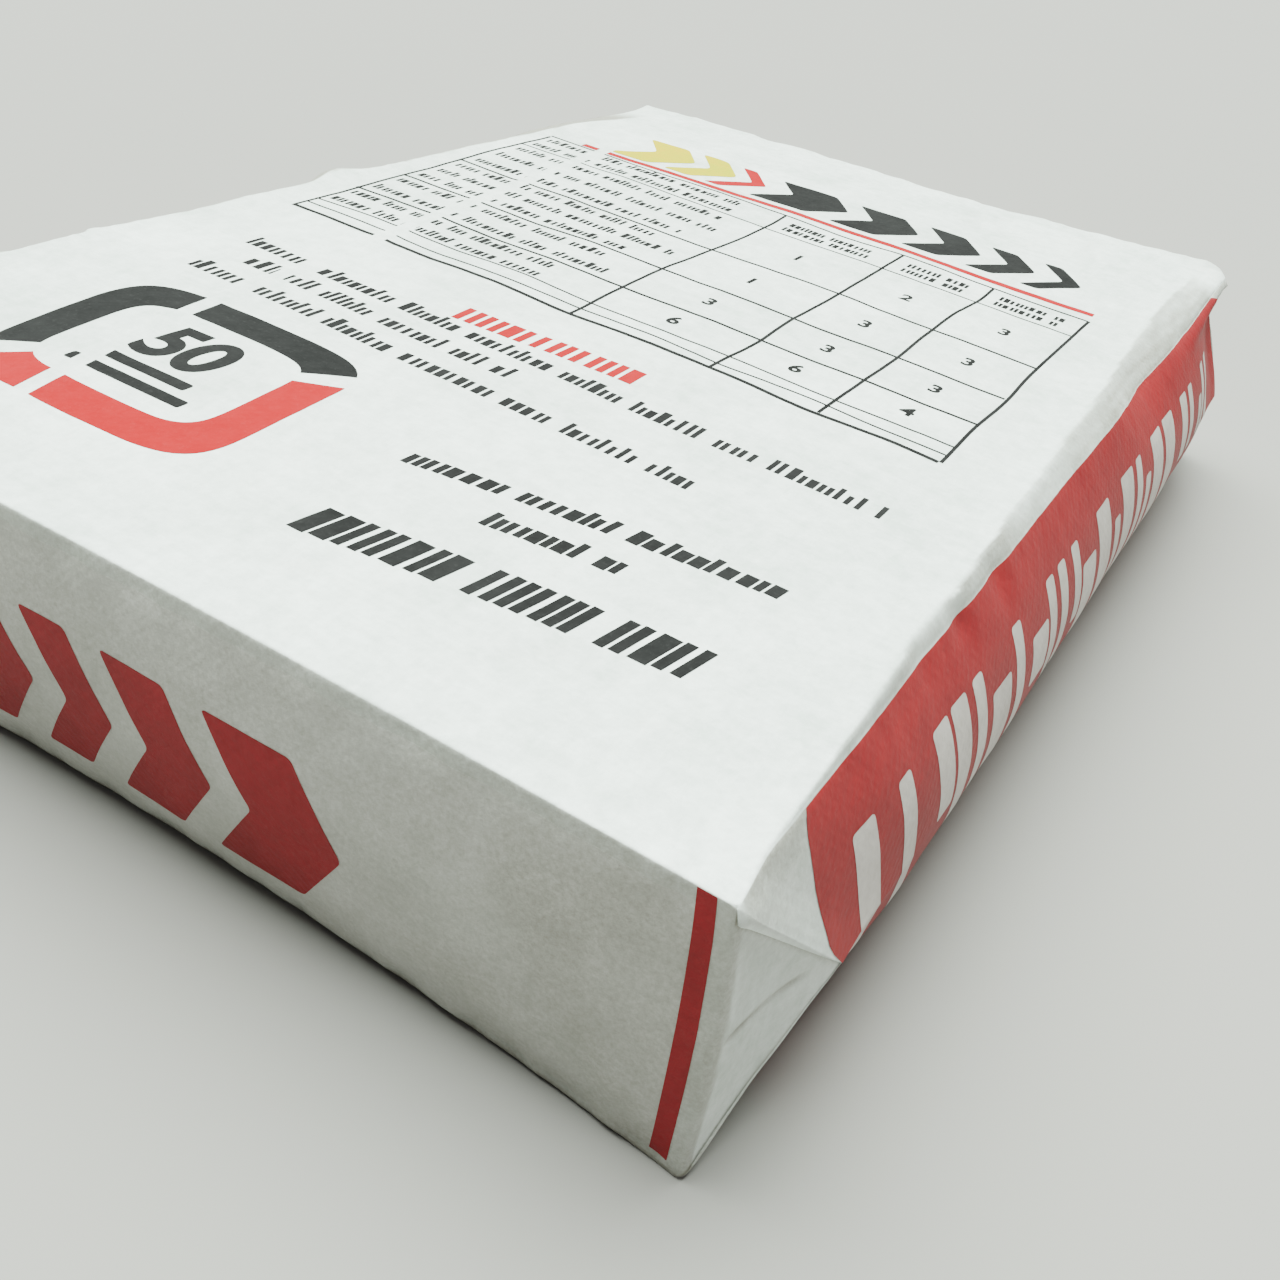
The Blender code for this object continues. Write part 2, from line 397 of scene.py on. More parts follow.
    def relief(self, u: Array, v: Array, w: Array) -> Array:
        """The wrinkles: the soft noise of each kind where the cloth has it, dents, creases and the pleat.

        An end also shows, as a low step, the edge of the tuck folded in under its patch. The ears are a
        little hollow, and a low ridge runs along the inner edge of the face's bands. The side that the sack
        lies on is pressed nearly flat.
        """
        place = x, y, z = self.base(u, v, w)
        ripple = self.noise.ripple
        to_side, to_end, to_face = self.to_folds(u, v, w)
        on_face = ramp(w, 0.9, 0.1)
        on_end = near(to_end, 4 * MM)
        settled = smooth(to_end / self.crown_run)
        total = ripple(Ripple.PILLOW, place) + ripple(Ripple.CRUMPLE, place)
        total += (0.18 + 0.12 * on_end) * ripple(Ripple.LUMP, place)

        shoulder = near(to_side + to_face, self.shoulder_wave_reach)
        ridges = 1.0 - 2.2 * np.sqrt(ripple(Ripple.RIDGE, place) ** 2 + 0.01)
        total += self.shoulder_ridge * shoulder * (0.35 + 0.65 * settled) * ridges
        total += shoulder * settled * ripple(Ripple.SHOULDER_WAVE, place)

        crimp = np.where(v < 0.0, *self.end_crimp) * np.tanh(ripple(Ripple.END_CRIMP, place))
        total += near(to_end + to_face, self.end_wave_reach) * (ripple(Ripple.END_WAVE, place) + crimp)
        at_corner = ramp(u, 0.35, 0.65) * ramp(v, 0.7, 0.3) * ramp(w, 0.3, 0.6)
        total += at_corner * (ripple(Ripple.CORNER_WAVE, place) + ripple(Ripple.CORNER_CRUMPLE, place))

        in_ear = np.clip(to_end / np.maximum(self.ear_edge(w), 1e-9), 0.0, 1.0)
        hollow = 4.0 * in_ear * (1.0 - in_ear) * smooth((1.0 - np.abs(w)) / 0.3)
        total -= self.ear_hollow * hollow * ramp(np.abs(u), 0.98, 0.02)
        total += self.layer_rise * on_end * self.past_layer(x, w)
        total += self.band_ridge * on_face * settled * bell(to_side - self.band(v), self.band_ridge_width)
        off_pleat = (x - self.pleat_x(y)) / self.pleat_width
        pleat = self.pleat_height * on_face * np.exp(-((off_pleat * 1.6) ** 4))
        total += pleat * smooth(to_end / self.pleat_fade)
        total += sum(mark.relief(x, y, z) for mark in self.dents + self.creases)
        return total * (self.pressed_relief + (1.0 - self.pressed_relief) * ramp(w, -1.0, 0.1))

    def dust_and_shade(self, u: Array, v: Array, w: Array) -> Array:
        """How much dust and painted shade darken the cloth, from 0 on the clean face to 1 where it is
        darkest.

        The sloping bands carry dust and painted shade, streaked along their length but for a clean lip at the
        fold, and painted shade greys the valve corner. The ends and sides carry a film of dust and painted
        shade, thicker on the ends. Painted shade lies under the shoulder beside an ear, along the face's edge
        at each end and along the edges that the sack rests on, and painted shade and dirt lie in the creases.
        """
        place = x, y, z = self.base(u, v, w)
        to_side, to_end, to_face = self.to_folds(u, v, w)
        band = self.band(v)
        streak = self.noise.ripple(Ripple.LONG_STREAK, place) + self.noise.ripple(Ripple.SHORT_STREAK, place)
        jagged = self.band_jag * self.noise.at(u * 7.0, y / self.band_jag_size, 6.1)
        into = smooth((band + jagged - to_side) / self.band_edge + 0.5) * ramp(to_end, *self.band_fade)
        lip = 0.75 + 0.25 * smooth(to_side / self.band_lip)
        # Dust and painted shade in the bands: on the right, darker towards the fold; the left band is darker
        # all over, as painted shade.
        painted_shade_and_dirt = np.interp((v + 1.0) * self.half_length, self.band_from_end, self.band_dust_and_shade)
        right_band_dust_and_shade = painted_shade_and_dirt * (1.12 - 0.32 * np.clip(to_side / band, 0.0, 1.0)) + 0.2 * streak
        in_band = into * lip * np.where(u < 0.0, 0.95, right_band_dust_and_shade)
        # Painted shade greys the valve corner, a little streaked.
        at_valve = near(to_side + to_end, self.valve_shade_reach) * (0.28 + 0.15 * streak)
        at_valve *= (u > 0.0) * (v > 0.0)
        # Painted shade along the face's edge where it rolls over each end.
        rolled = self.painted_shade_in_roll * near(to_end, 1.2 * MM)

        # On the ends and sides, a film of dust and painted shade, thicker on the ends and past the tuck's
        # edge there; under the shoulder beside an ear it is painted shade.
        on_end = near(to_end - 2.5 * MM, 1.2 * MM)
        on_ear = (1.0 - on_end) * near(to_end - 40 * MM, 25 * MM)
        under = self.painted_shade_under_shoulder * np.exp(-to_face / self.under_shoulder) * (w > 0.0)
        film = self.film_dust_and_shade + self.noise.ripple(Ripple.DUST_CLOUD, place) + on_ear * under
        film += on_end * (self.end_dust_and_shade + 0.07 * self.past_layer(x, w))
        on_face = close(to_face, 0.4 * MM) * (w > 0.0)
        shade_and_dust = on_face * (np.maximum(in_band, at_valve) + rolled) + (1.0 - on_face) * film
        # Painted shade along the bottom edges that the sack rests on.
        foot = self.painted_shade_at_foot * near((w + 1.0) * self.corner_height / 2, self.foot_reach)
        # Painted shade and dirt in the creases.
        folded = sum(crease.painted_shade_and_dirt * crease.relief(x, y, z) / crease.height for crease in self.creases)
        return np.clip(shade_and_dust + foot + folded, 0.0, 1.0)

    def past_layer(self, x: Array, w: Array) -> Array:
        """Rises from 0 to 1 over the edge of the tuck folded in under an end's patch."""
        edge = np.interp((w + 1.0) * self.corner_height / 2, self.layer_height, self.layer_edge)
        return smooth((np.abs(x) - edge) / self.layer_slope + 0.5)

    def pleat_x(self, y: Array) -> Array:
        """Where the long pleat runs across the face, at each place along the sack."""
        return self.pleat_near[0] + self.pleat_slant * (y + self.half_length - self.pleat_near[1])

    def flap_size(self, w: Array) -> Array:
        """How full the roll over the ear is: nothing at the corner, most just off it, little at the apex."""
        away = np.abs(w)
        return smooth((1.0 - away) / 0.14) * (0.12 + 0.88 * away) * np.where(w < 0.0, self.lower_flap, 1.0)

    def overhang(self, w: Array) -> Array:
        """How far the roll's nose passes the ear's crease: less towards the apex, never past the end."""
        nose = self.flap_overhang * np.abs(w) * np.where(w < 0.0, self.lower_flap, 1.0)
        return np.minimum(nose, 0.96 * self.ear_edge(w))

    def flap(self, v: Array, w: Array) -> Array:
        """How far the side's cloth stands off where it folds over the ear, fading away from the fold."""
        off = self.half_length * (1.0 - np.abs(v)) - self.ear_edge(w)
        return self.flap_lift * self.flap_size(w) * near(off, self.flap_fade)

    def at(self, u: Array, v: Array, w: Array, off: Array = 0.0) -> Array:
        """The finished surface: the base, less the rounding of folds, plus relief and an offset outwards."""
        u, v, w = np.broadcast_arrays(u, v, w)
        push = self.relief(u, v, w) - self.rounding(u, v, w) + off
        points = np.stack(self.base(u, v, w), axis=-1) + self.outward(u, v, w) * push[..., None]
        points[..., 2] = np.maximum(points[..., 2], 0.0)
        return points

    def patch(self, u: Array, w: Array) -> Array:
        """How far the welded patch stands off an end: flat, and thinned to nothing over its edge."""
        to_side, _, to_face = self.to_folds(u, 0.0, w)
        to_edge = np.minimum(to_side - self.patch_side_margin, to_face - self.patch_top_margin)
        return self.patch_rise * smooth(to_edge / self.patch_taper)


def grid_quads(rows: int, columns: int) -> Array:
    """The four corners of each cell of a grid whose vertices are numbered row by row."""
    corner = np.arange(rows * columns).reshape(rows, columns)
    cells = [corner[:-1, :-1], corner[1:, :-1], corner[1:, 1:], corner[:-1, 1:]]
    return np.stack(cells, axis=-1).reshape(-1, 4)


def facing_out(points: Array, quads: Array, outward: Array) -> Array:
    """Turns a sheet's faces round where, taken together, they point against the given way out."""
    corner = points[quads]
    normal = np.cross(corner[:, 2] - corner[:, 0], corner[:, 3] - corner[:, 1])
    return quads if np.sum(normal * outward[quads].mean(axis=1)) > 0 else quads[:, ::-1]


def link_piece(name: str, mesh: Mesh, material: Material) -> Piece:
    """Makes a named piece of a mesh in the sack's frame, with its finish."""
    mesh.name = name
    mesh.materials.append(material)
    mesh.shade_smooth()
    piece = bpy.data.objects.new(name, mesh)
    bpy.context.scene.collection.objects.link(piece)
    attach(piece, "root")
    log.info("%s: %d faces", name, len(mesh.polygons))
    return piece


def make_mesh(points: Array, faces: list[list[int]], flat: Array, dust_and_shade: Array) -> Mesh:
    """Makes a mesh with the flat cloth's coordinates as its UV map, and its dust and painted shade at each
    vertex.

    Args:
        points: The vertices.
        faces: The corners of each face.
        flat: Where each corner of each face lies on the flat cloth, in metres, face by face.
        dust_and_shade: How much dust and painted shade darken each vertex.

    Returns:
        The mesh.
    """
    mesh = bpy.data.meshes.new("cloth")
    mesh.from_pydata(points.tolist(), [], faces)
    uv = mesh.uv_layers.new(name="cloth_sheet")
    uv.data.foreach_set("uv", np.ascontiguousarray(flat, dtype=np.float32).ravel())
    worn = mesh.attributes.new("dust_and_shade", "FLOAT", "POINT")
    worn.data.foreach_set("value", np.asarray(dust_and_shade, dtype=np.float32))
    mesh.validate()
    return mesh


@dataclass
class Sheet:
    """A sheet of cloth in the making: its points, its faces, its places on the flat cloth, and its dust and
    painted shade.
    """

    points: Array
    quads: Array
    flat: Array
    dust_and_shade: Array

    @staticmethod
    def joined(sheets: list["Sheet"]) -> "Sheet":
        """Puts sheets together as one, still unwelded."""
        starts = np.cumsum([0] + [len(s.points) for s in sheets[:-1]])
        quads = [s.quads + start for s, start in zip(sheets, starts)]
        parts = zip(*((s.points, q, s.flat, s.dust_and_shade) for s, q in zip(sheets, quads)))
        return Sheet(*(np.concatenate(part) for part in parts))

    def mesh(self, weld: float = 0.002 * MM) -> Mesh:
        """Makes a mesh, joining vertices at one place and dropping the corners of quads that this doubles."""
        places = np.round(self.points / weld)
        _, first, joined = np.unique(places, axis=0, return_index=True, return_inverse=True)
        corners = joined.reshape(-1)[self.quads]
        keep = corners != np.roll(corners, 1, axis=1)
        whole = keep.sum(axis=1) >= 3
        faces = [c[k].tolist() for c, k in zip(corners[whole], keep[whole])]
        flat = self.flat[self.quads[whole]][keep[whole]]
        return make_mesh(self.points[first], faces, flat, self.dust_and_shade[first])


@dataclass(frozen=True)
class Net:
    """A face of the sack as a net of stations: each crossing's point, way out and place on the cloth."""

    first: Array
    second: Array
    cube: Arrays
    points: Array
    outward: Array
    flat: Array

    def sheet(self, dust_and_shade: Array) -> Sheet:
        """The whole net as a sheet that faces outwards."""
        points = self.points.reshape(-1, 3)
        quads = facing_out(points, grid_quads(*self.points.shape[:2]), self.outward.reshape(-1, 3))
        return Sheet(points, quads, self.flat.reshape(-1, 2), dust_and_shade.ravel())

    def part(self, rows: slice, columns: slice, first: Array) -> "Net":
        """A part of the net, with its own stations along the first axis."""
        grids = [grid[rows, columns] for grid in (self.points, self.outward, self.flat)]
        return Net(first, self.second[columns], tuple(c[rows, columns] for c in self.cube), *grids)

    def raised(self, off: Array) -> "Net":
        """The same net standing off by that much at each crossing."""
        return replace(self, points=self.points + self.outward * np.asarray(off)[..., None])

    def at(self, places: Array, off: float) -> Arrays:
        """Points, ways out and flat places at places given as stations, standing that far off the net."""
        (i, s), (j, t) = (self.between(st, places[:, k]) for k, st in enumerate((self.first, self.second)))
        s, t = s[:, None], t[:, None]

        def blend(grid: Array) -> Array:
            low = grid[i, j] * (1 - s) + grid[i + 1, j] * s
            high = grid[i, j + 1] * (1 - s) + grid[i + 1, j + 1] * s
            return low * (1 - t) + high * t

        outward = blend(self.outward)
        outward /= np.linalg.norm(outward, axis=1, keepdims=True)
        return blend(self.points) + outward * off, outward, blend(self.flat)

    @staticmethod
    def between(stations: Array, value: Array) -> tuple[Array, Array]:
        """The station below each value, and how far on it is towards the next one."""
        index = np.clip(np.searchsorted(stations, value, side="right") - 1, 0, len(stations) - 2)
        return index, np.clip((value - stations[index]) / (stations[index + 1] - stations[index]), 0.0, 1.0)


@dataclass(frozen=True)
class SackSkin:
    """The woven skin: a closed net over the cube, fine at the folds, with a folded edge over each ear."""

    shape: SackShape
    fold_step: float = 0.4 * MM
    along_step: float = 3.0 * MM
    band_step: float = 1.5 * MM
    band_reach: float = 24 * MM
    across_step: float = 5.5 * MM
    up_step: float = 2.6 * MM
    crease_step: float = 1.1 * MM
    crease_reach: float = 8.8 * MM
    ear_columns: int = 26
    fold_columns: int = 8
    valve_roll_loss: float = 0.95

    def marks(self, half: float, step: float, seam: float, fine: float = 0.0, crease: float = 0.0) -> Array:
        """Stations from 0 to twice the half, fine at both ends, over a patch's edge and at the middle.

        Args:
            half: Half of the face's size.
            step: The widest step.
            seam: How far from the fold the patch's edge is.
            fine: How far from the fold the steps stay narrow, for the band beside it.
            crease: How far to each side of the middle the stations are fine.

        Returns:
            The stations.
        """
        taper = self.shape.patch_taper
        marks = graded(half, self.fold_step, step)
        if fine:
            start = graded(fine, self.fold_step, self.band_step)
            marks = np.concatenate([start, fine + graded(half - fine, self.band_step, step)[1:]])
        marks = marks[(marks < seam - 0.3 * MM) | (marks > seam + taper + 0.5 * MM)]
        middle = half - np.arange(0.0, crease + 1e-9, self.crease_step)
        over_seam = seam + np.linspace(0.0, taper, 4)
        marks = np.concatenate([marks[marks < half - crease - 0.3 * MM], over_seam, middle])
        return mirrored(np.sort(marks), 2 * half)

    def marks_along(self) -> Array:
        """Distances along the sack, from an end to the middle."""
        return graded(self.shape.half_length, self.fold_step, self.along_step)

    def along_side(self, w: Array, share: Array = 1.0) -> tuple[Array, Array]:
        """The columns of a side at each row w, from an end to the middle.

        They fill the ear, turn back round the rolled edge of the cloth over it in half an ellipse, and then
        run to the middle.

        Args:
            w: The rows, as a column of numbers.
            share: How much of the roll each row has.

        Returns:
            Each column's distance from the end, and how far it stands off the skin.
        """
        shape = self.shape
        edge, full = shape.ear_edge(w), shape.flap_size(w) * share
        in_ear = np.linspace(0.0, 1.0, self.ear_columns + 1) * edge
        turn = np.linspace(0.0, math.pi, self.fold_columns + 2)[1:-1]
        fold = edge - shape.overhang(w) * share * np.sin(turn)
        rest = edge + (shape.half_length - edge) * (self.marks_along() / shape.half_length)
        lift = shape.flap_lift * full * (1.0 - np.cos(turn)) / 2
        off = [in_ear * 0.0, lift, shape.flap(rest / shape.half_length - 1.0, w) * share]
        return np.concatenate([in_ear, fold, rest], axis=1), np.concatenate(off, axis=1)

    def side_grid(self, up: Array) -> tuple[Array, Array]:
        """A side's distances along the sack, and how far it stands off. The roll fades at the valve's lip."""
        rows = 2 * up[:, None] / self.shape.corner_height - 1
        near_end, near_off = self.along_side(rows)
        far_end, far_off = self.along_side(rows, 1.0 - self.valve_roll_loss * ramp(rows, 0.5, 0.25))
        along = np.concatenate([near_end, self.shape.length - far_end[:, -2::-1]], axis=1)
        return along.T, np.concatenate([near_off, far_off[:, -2::-1]], axis=1).T

    def nets(self) -> dict[Side, Net]:
        """The six faces of the sack as nets."""
        shape = self.shape
        half_width, half_length, half_height = shape.halves
        across = self.marks(half_width, self.across_step, shape.patch_side_margin, fine=self.band_reach)
        along = mirrored(self.marks_along(), shape.length)
        up = self.marks(half_height, self.up_step, shape.patch_top_margin, crease=self.crease_reach)
        nets = {}
        for side in Side:
            axis, value = side.value
            fixed, off = (value + 1.0) * shape.halves[axis], 0.0
            if axis == 0:
                y, off = self.side_grid(up)
                x, z = np.full_like(y, fixed), np.broadcast_to(up, y.shape)
                stations = np.arange(len(y), dtype=float), up
                flat = (half_width + shape.corner_height - z) * value, y - half_length
            elif axis == 1:
                x, z = np.meshgrid(across, up, indexing="ij")
                y = np.full_like(x, fixed)
                stations = across - half_width, up
                flat = x - half_width, (half_length + shape.corner_height - z) * value
            else:
                x, y = np.meshgrid(across, along, indexing="ij")
                z = np.full_like(x, fixed)
                stations = across - half_width, along
                beside = (1.0 - value) / 2 * (shape.width + shape.corner_height)
                flat = (x - half_width) * value + beside, y - half_length
            cube = tuple(place / half - 1 for place, half in zip((x, y, z), shape.halves))
            flat = np.stack(flat, axis=-1)
            nets[side] = Net(*stations, cube, shape.at(*cube, off), shape.outward(*cube), flat)
        return nets

    def panel(self, net: Net) -> Net:
        """A side's net between the ears, with its stations counted from the edge of each ear's fold."""
        start = self.ear_columns + 1 + self.fold_columns
        return net.part(slice(start, -start), slice(None), mirrored(self.marks_along(), self.shape.length))

    def dust_and_shade(self, side: Side, net: Net) -> Array:
        """The skin's dust and painted shade: on a side, a painted shadow lies under the roll, and the roll is
        painted lighter on its upper half and darker on its lower half.
        """
        shape, (_, v, w) = self.shape, net.cube
        dust_and_shade = shape.dust_and_shade(*net.cube)
        if side not in (Side.RIGHT, Side.LEFT):
            return dust_and_shade
        column = np.arange(len(dust_and_shade))[:, None]
        over = np.minimum(column, len(dust_and_shade) - 1 - column) > self.ear_columns
        # A painted shadow lies just below the roll's nose on the ear, and the roll carries painted light:
        # lighter on its upper half, darker on its lower half.
        past_nose = shape.half_length * (1.0 - np.abs(v)) - shape.ear_edge(w) + shape.overhang(w)
        painted_shade_and_dirt = 0.4 * bell(past_nose, 1.3 * MM) * smooth((1.0 - np.abs(w)) / 0.1)
        roll_light_and_shade = 0.45 * bell(past_nose, 3.5 * MM) * w
        return np.clip(dust_and_shade + np.where(over, -roll_light_and_shade, painted_shade_and_dirt), 0.0, 1.0)

    def build(self, nets: dict[Side, Net], material: Material) -> Piece:
        """Welds the six nets into one closed skin."""
        sheets = [net.sheet(self.dust_and_shade(side, net)) for side, net in nets.items()]
        piece = link_piece("sack_skin", Sheet.joined(sheets).mesh(), material)
        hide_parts("sack_body")
        return piece


@dataclass(frozen=True)
class CementCore:
    """The cement inside, a closed net that follows the skin from a little way in."""

    shape: SackShape
    inset: float = 4.2 * MM
    rows: int = 25

    def build(self, material: Material) -> Piece:
        """Lays six plain grids at the inset and welds them into one body."""
        rows = np.linspace(-1.0, 1.0, self.rows)
        a, b = np.meshgrid(rows, rows, indexing="ij")
        sheets = []
        for side in Side:
            cube = tuple(np.insert(np.stack([a, b]), *side.value, axis=0))
            place = np.stack(self.shape.base(*cube, self.inset), axis=-1)
            net = Net(rows, rows, cube, place, self.shape.outward(*cube), place[..., :2])
            sheets.append(net.sheet(np.zeros_like(a)))
        piece = link_piece("cement_core", Sheet.joined(sheets).mesh(), material)
        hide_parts("cement_fill")
        return piece


@dataclass(frozen=True)
class CoverPatch:
    """A cover patch welded over a folded end: a thin sheet on the skin's net that thins out at its edge."""

    shape: SackShape
    sink: float = 0.25 * MM
    lift: float = 0.02 * MM
    sharp: float = math.radians(50)

    def surface(self, net: Net) -> Net:
        """The end's net raised by the patch."""
        return net.raised(self.shape.patch(net.cube[0], net.cube[2]) + self.lift)

    def build(self, name: str, net: Net, material: Material, node: str) -> Piece:
        """Lays the outer sheet on the end and closes it with walls and a back sheet under the skin."""
        shape = self.shape
        reach_u = 1.0 - shape.patch_side_margin / shape.half_width + 1e-9
        reach_w = 1.0 - 2.0 * shape.patch_top_margin / shape.corner_height + 1e-9
        rows = np.nonzero(np.abs(net.cube[0][:, 0]) <= reach_u)[0]
        columns = np.nonzero(np.abs(net.cube[2][0]) <= reach_w)[0]
        inside = slice(rows[0], rows[-1] + 1), slice(columns[0], columns[-1] + 1)
        over = self.surface(net).part(*inside, net.first[inside[0]])
        under = net.raised(np.full(net.points.shape[:2], -self.sink)).part(*inside, over.first)
        dust_and_shade = shape.dust_and_shade(*over.cube)
        back = under.sheet(dust_and_shade)
        back.quads = back.quads[:, ::-1]
        number = np.arange(dust_and_shade.size).reshape(dust_and_shade.shape)
        rim = np.concatenate([number[0], number[1:, -1], number[-1, -2::-1], number[-2::-1, 0]])
        top, low = (layer.points.reshape(-1, 3)[rim] for layer in (over, under))
        points, away = np.concatenate([top, low]), np.tile(top - top.mean(axis=0), (2, 1))
        wall = Sheet(points, facing_out(points, grid_quads(2, len(rim)), away),
                     np.tile(over.flat.reshape(-1, 2)[rim], (2, 1)), np.tile(dust_and_shade.ravel()[rim], 2))
        piece = link_piece(name, Sheet.joined([over.sheet(dust_and_shade), back, wall]).mesh(), material)
        piece.data.set_sharp_from_angle(angle=self.sharp)
        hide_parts(node)
        return piece


@dataclass(frozen=True)
class ValveSleeve:
    """The valve's flattened tube behind the valve end, whose soft mouth stands out of the ear's fold."""

    shape: SackShape
    start: float = 0.45
    leaves_sack: float = 0.94
    half_height: float = 0.70
    depth: float = 2.3 * MM
    thickness: float = 1.3 * MM
    wall: float = 0.25 * MM
    mouth: float = 4.5 * MM
    mouth_gape: float = 1.5 * MM
    mouth_ripple: float = 0.5 * MM
    around: int = 48
    lengthwise: int = 20
    shade_and_dust: float = 0.3

    def ring(self, reach: Array, turn: Array, thinner: float) -> Array:
        """A flattened loop carried along the end and past the ear, opening a little at its mouth.

        Args:
            reach: How far along the path, 0 at the closed end and 1 at the mouth.
            turn: The angle round the loop.
            thinner: How far inside the outer wall.

        Returns:
            The loop's points at each reach.
        """
        past = ramp(reach, 0.9, 0.1)
        u = np.minimum(self.start + (1.0 - self.start) * reach / self.leaves_sack, 1.0)
        out = np.maximum(reach - self.leaves_sack, 0.0) / (1.0 - self.leaves_sack) * self.mouth
        w = self.half_height * np.cos(turn) * (1.0 - 0.04 * past)
        half = self.thickness / 2 + self.mouth_gape * past * (0.6 + 0.4 * np.sin(3.0 * turn)) - thinner
        x, y, z = self.shape.base(u, np.ones_like(u * w), w)
        ripple = self.mouth_ripple * past * np.sin(w * 9.0)
        squash = np.sign(np.sin(turn)) * np.abs(np.sin(turn)) ** 0.5
        y = y - self.depth + half * squash + ripple
        return np.stack([x + out, y, z - np.cos(turn) * thinner], axis=-1)

    def build(self, material: Material) -> Piece:
        """Joins the outer and inner loops at both ends into one open tube with a thin wall."""
        reach = np.concatenate([np.linspace(*ends, self.lengthwise) for ends in ((0.0, 0.88), (0.89, 1.0))])
        turn = np.linspace(0.0, 2.0 * math.pi, self.around + 1)
        reach, turn = np.meshgrid(reach, turn, indexing="ij")
        outer, inner = self.ring(reach, turn, 0.0), self.ring(reach, turn, self.wall)
        shell = np.concatenate([outer, inner[::-1], outer[:1]])
        outward = shell - shell.mean(axis=1, keepdims=True)
        outward[len(outer): -1] *= -1.0
        net = Net(reach, turn, (), shell, outward, shell[..., [0, 2]])
        mesh = net.sheet(np.full(shell.shape[:2], self.shade_and_dust)).mesh()
        piece = link_piece("valve_sleeve_film", mesh, material)
        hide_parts("valve_sleeve")
        return piece


@dataclass(frozen=True)
class Marks:
    """A style of small plain marks, in millimetres.

    The lower marks have that share of the height, and a group has at least the first number of marks and
    fewer than the second.
    """

    height: float
    stroke: float
    gap: float
    slant: float = 0.0
    group: tuple[int, int] = (4, 11)
    low: float = 0.7


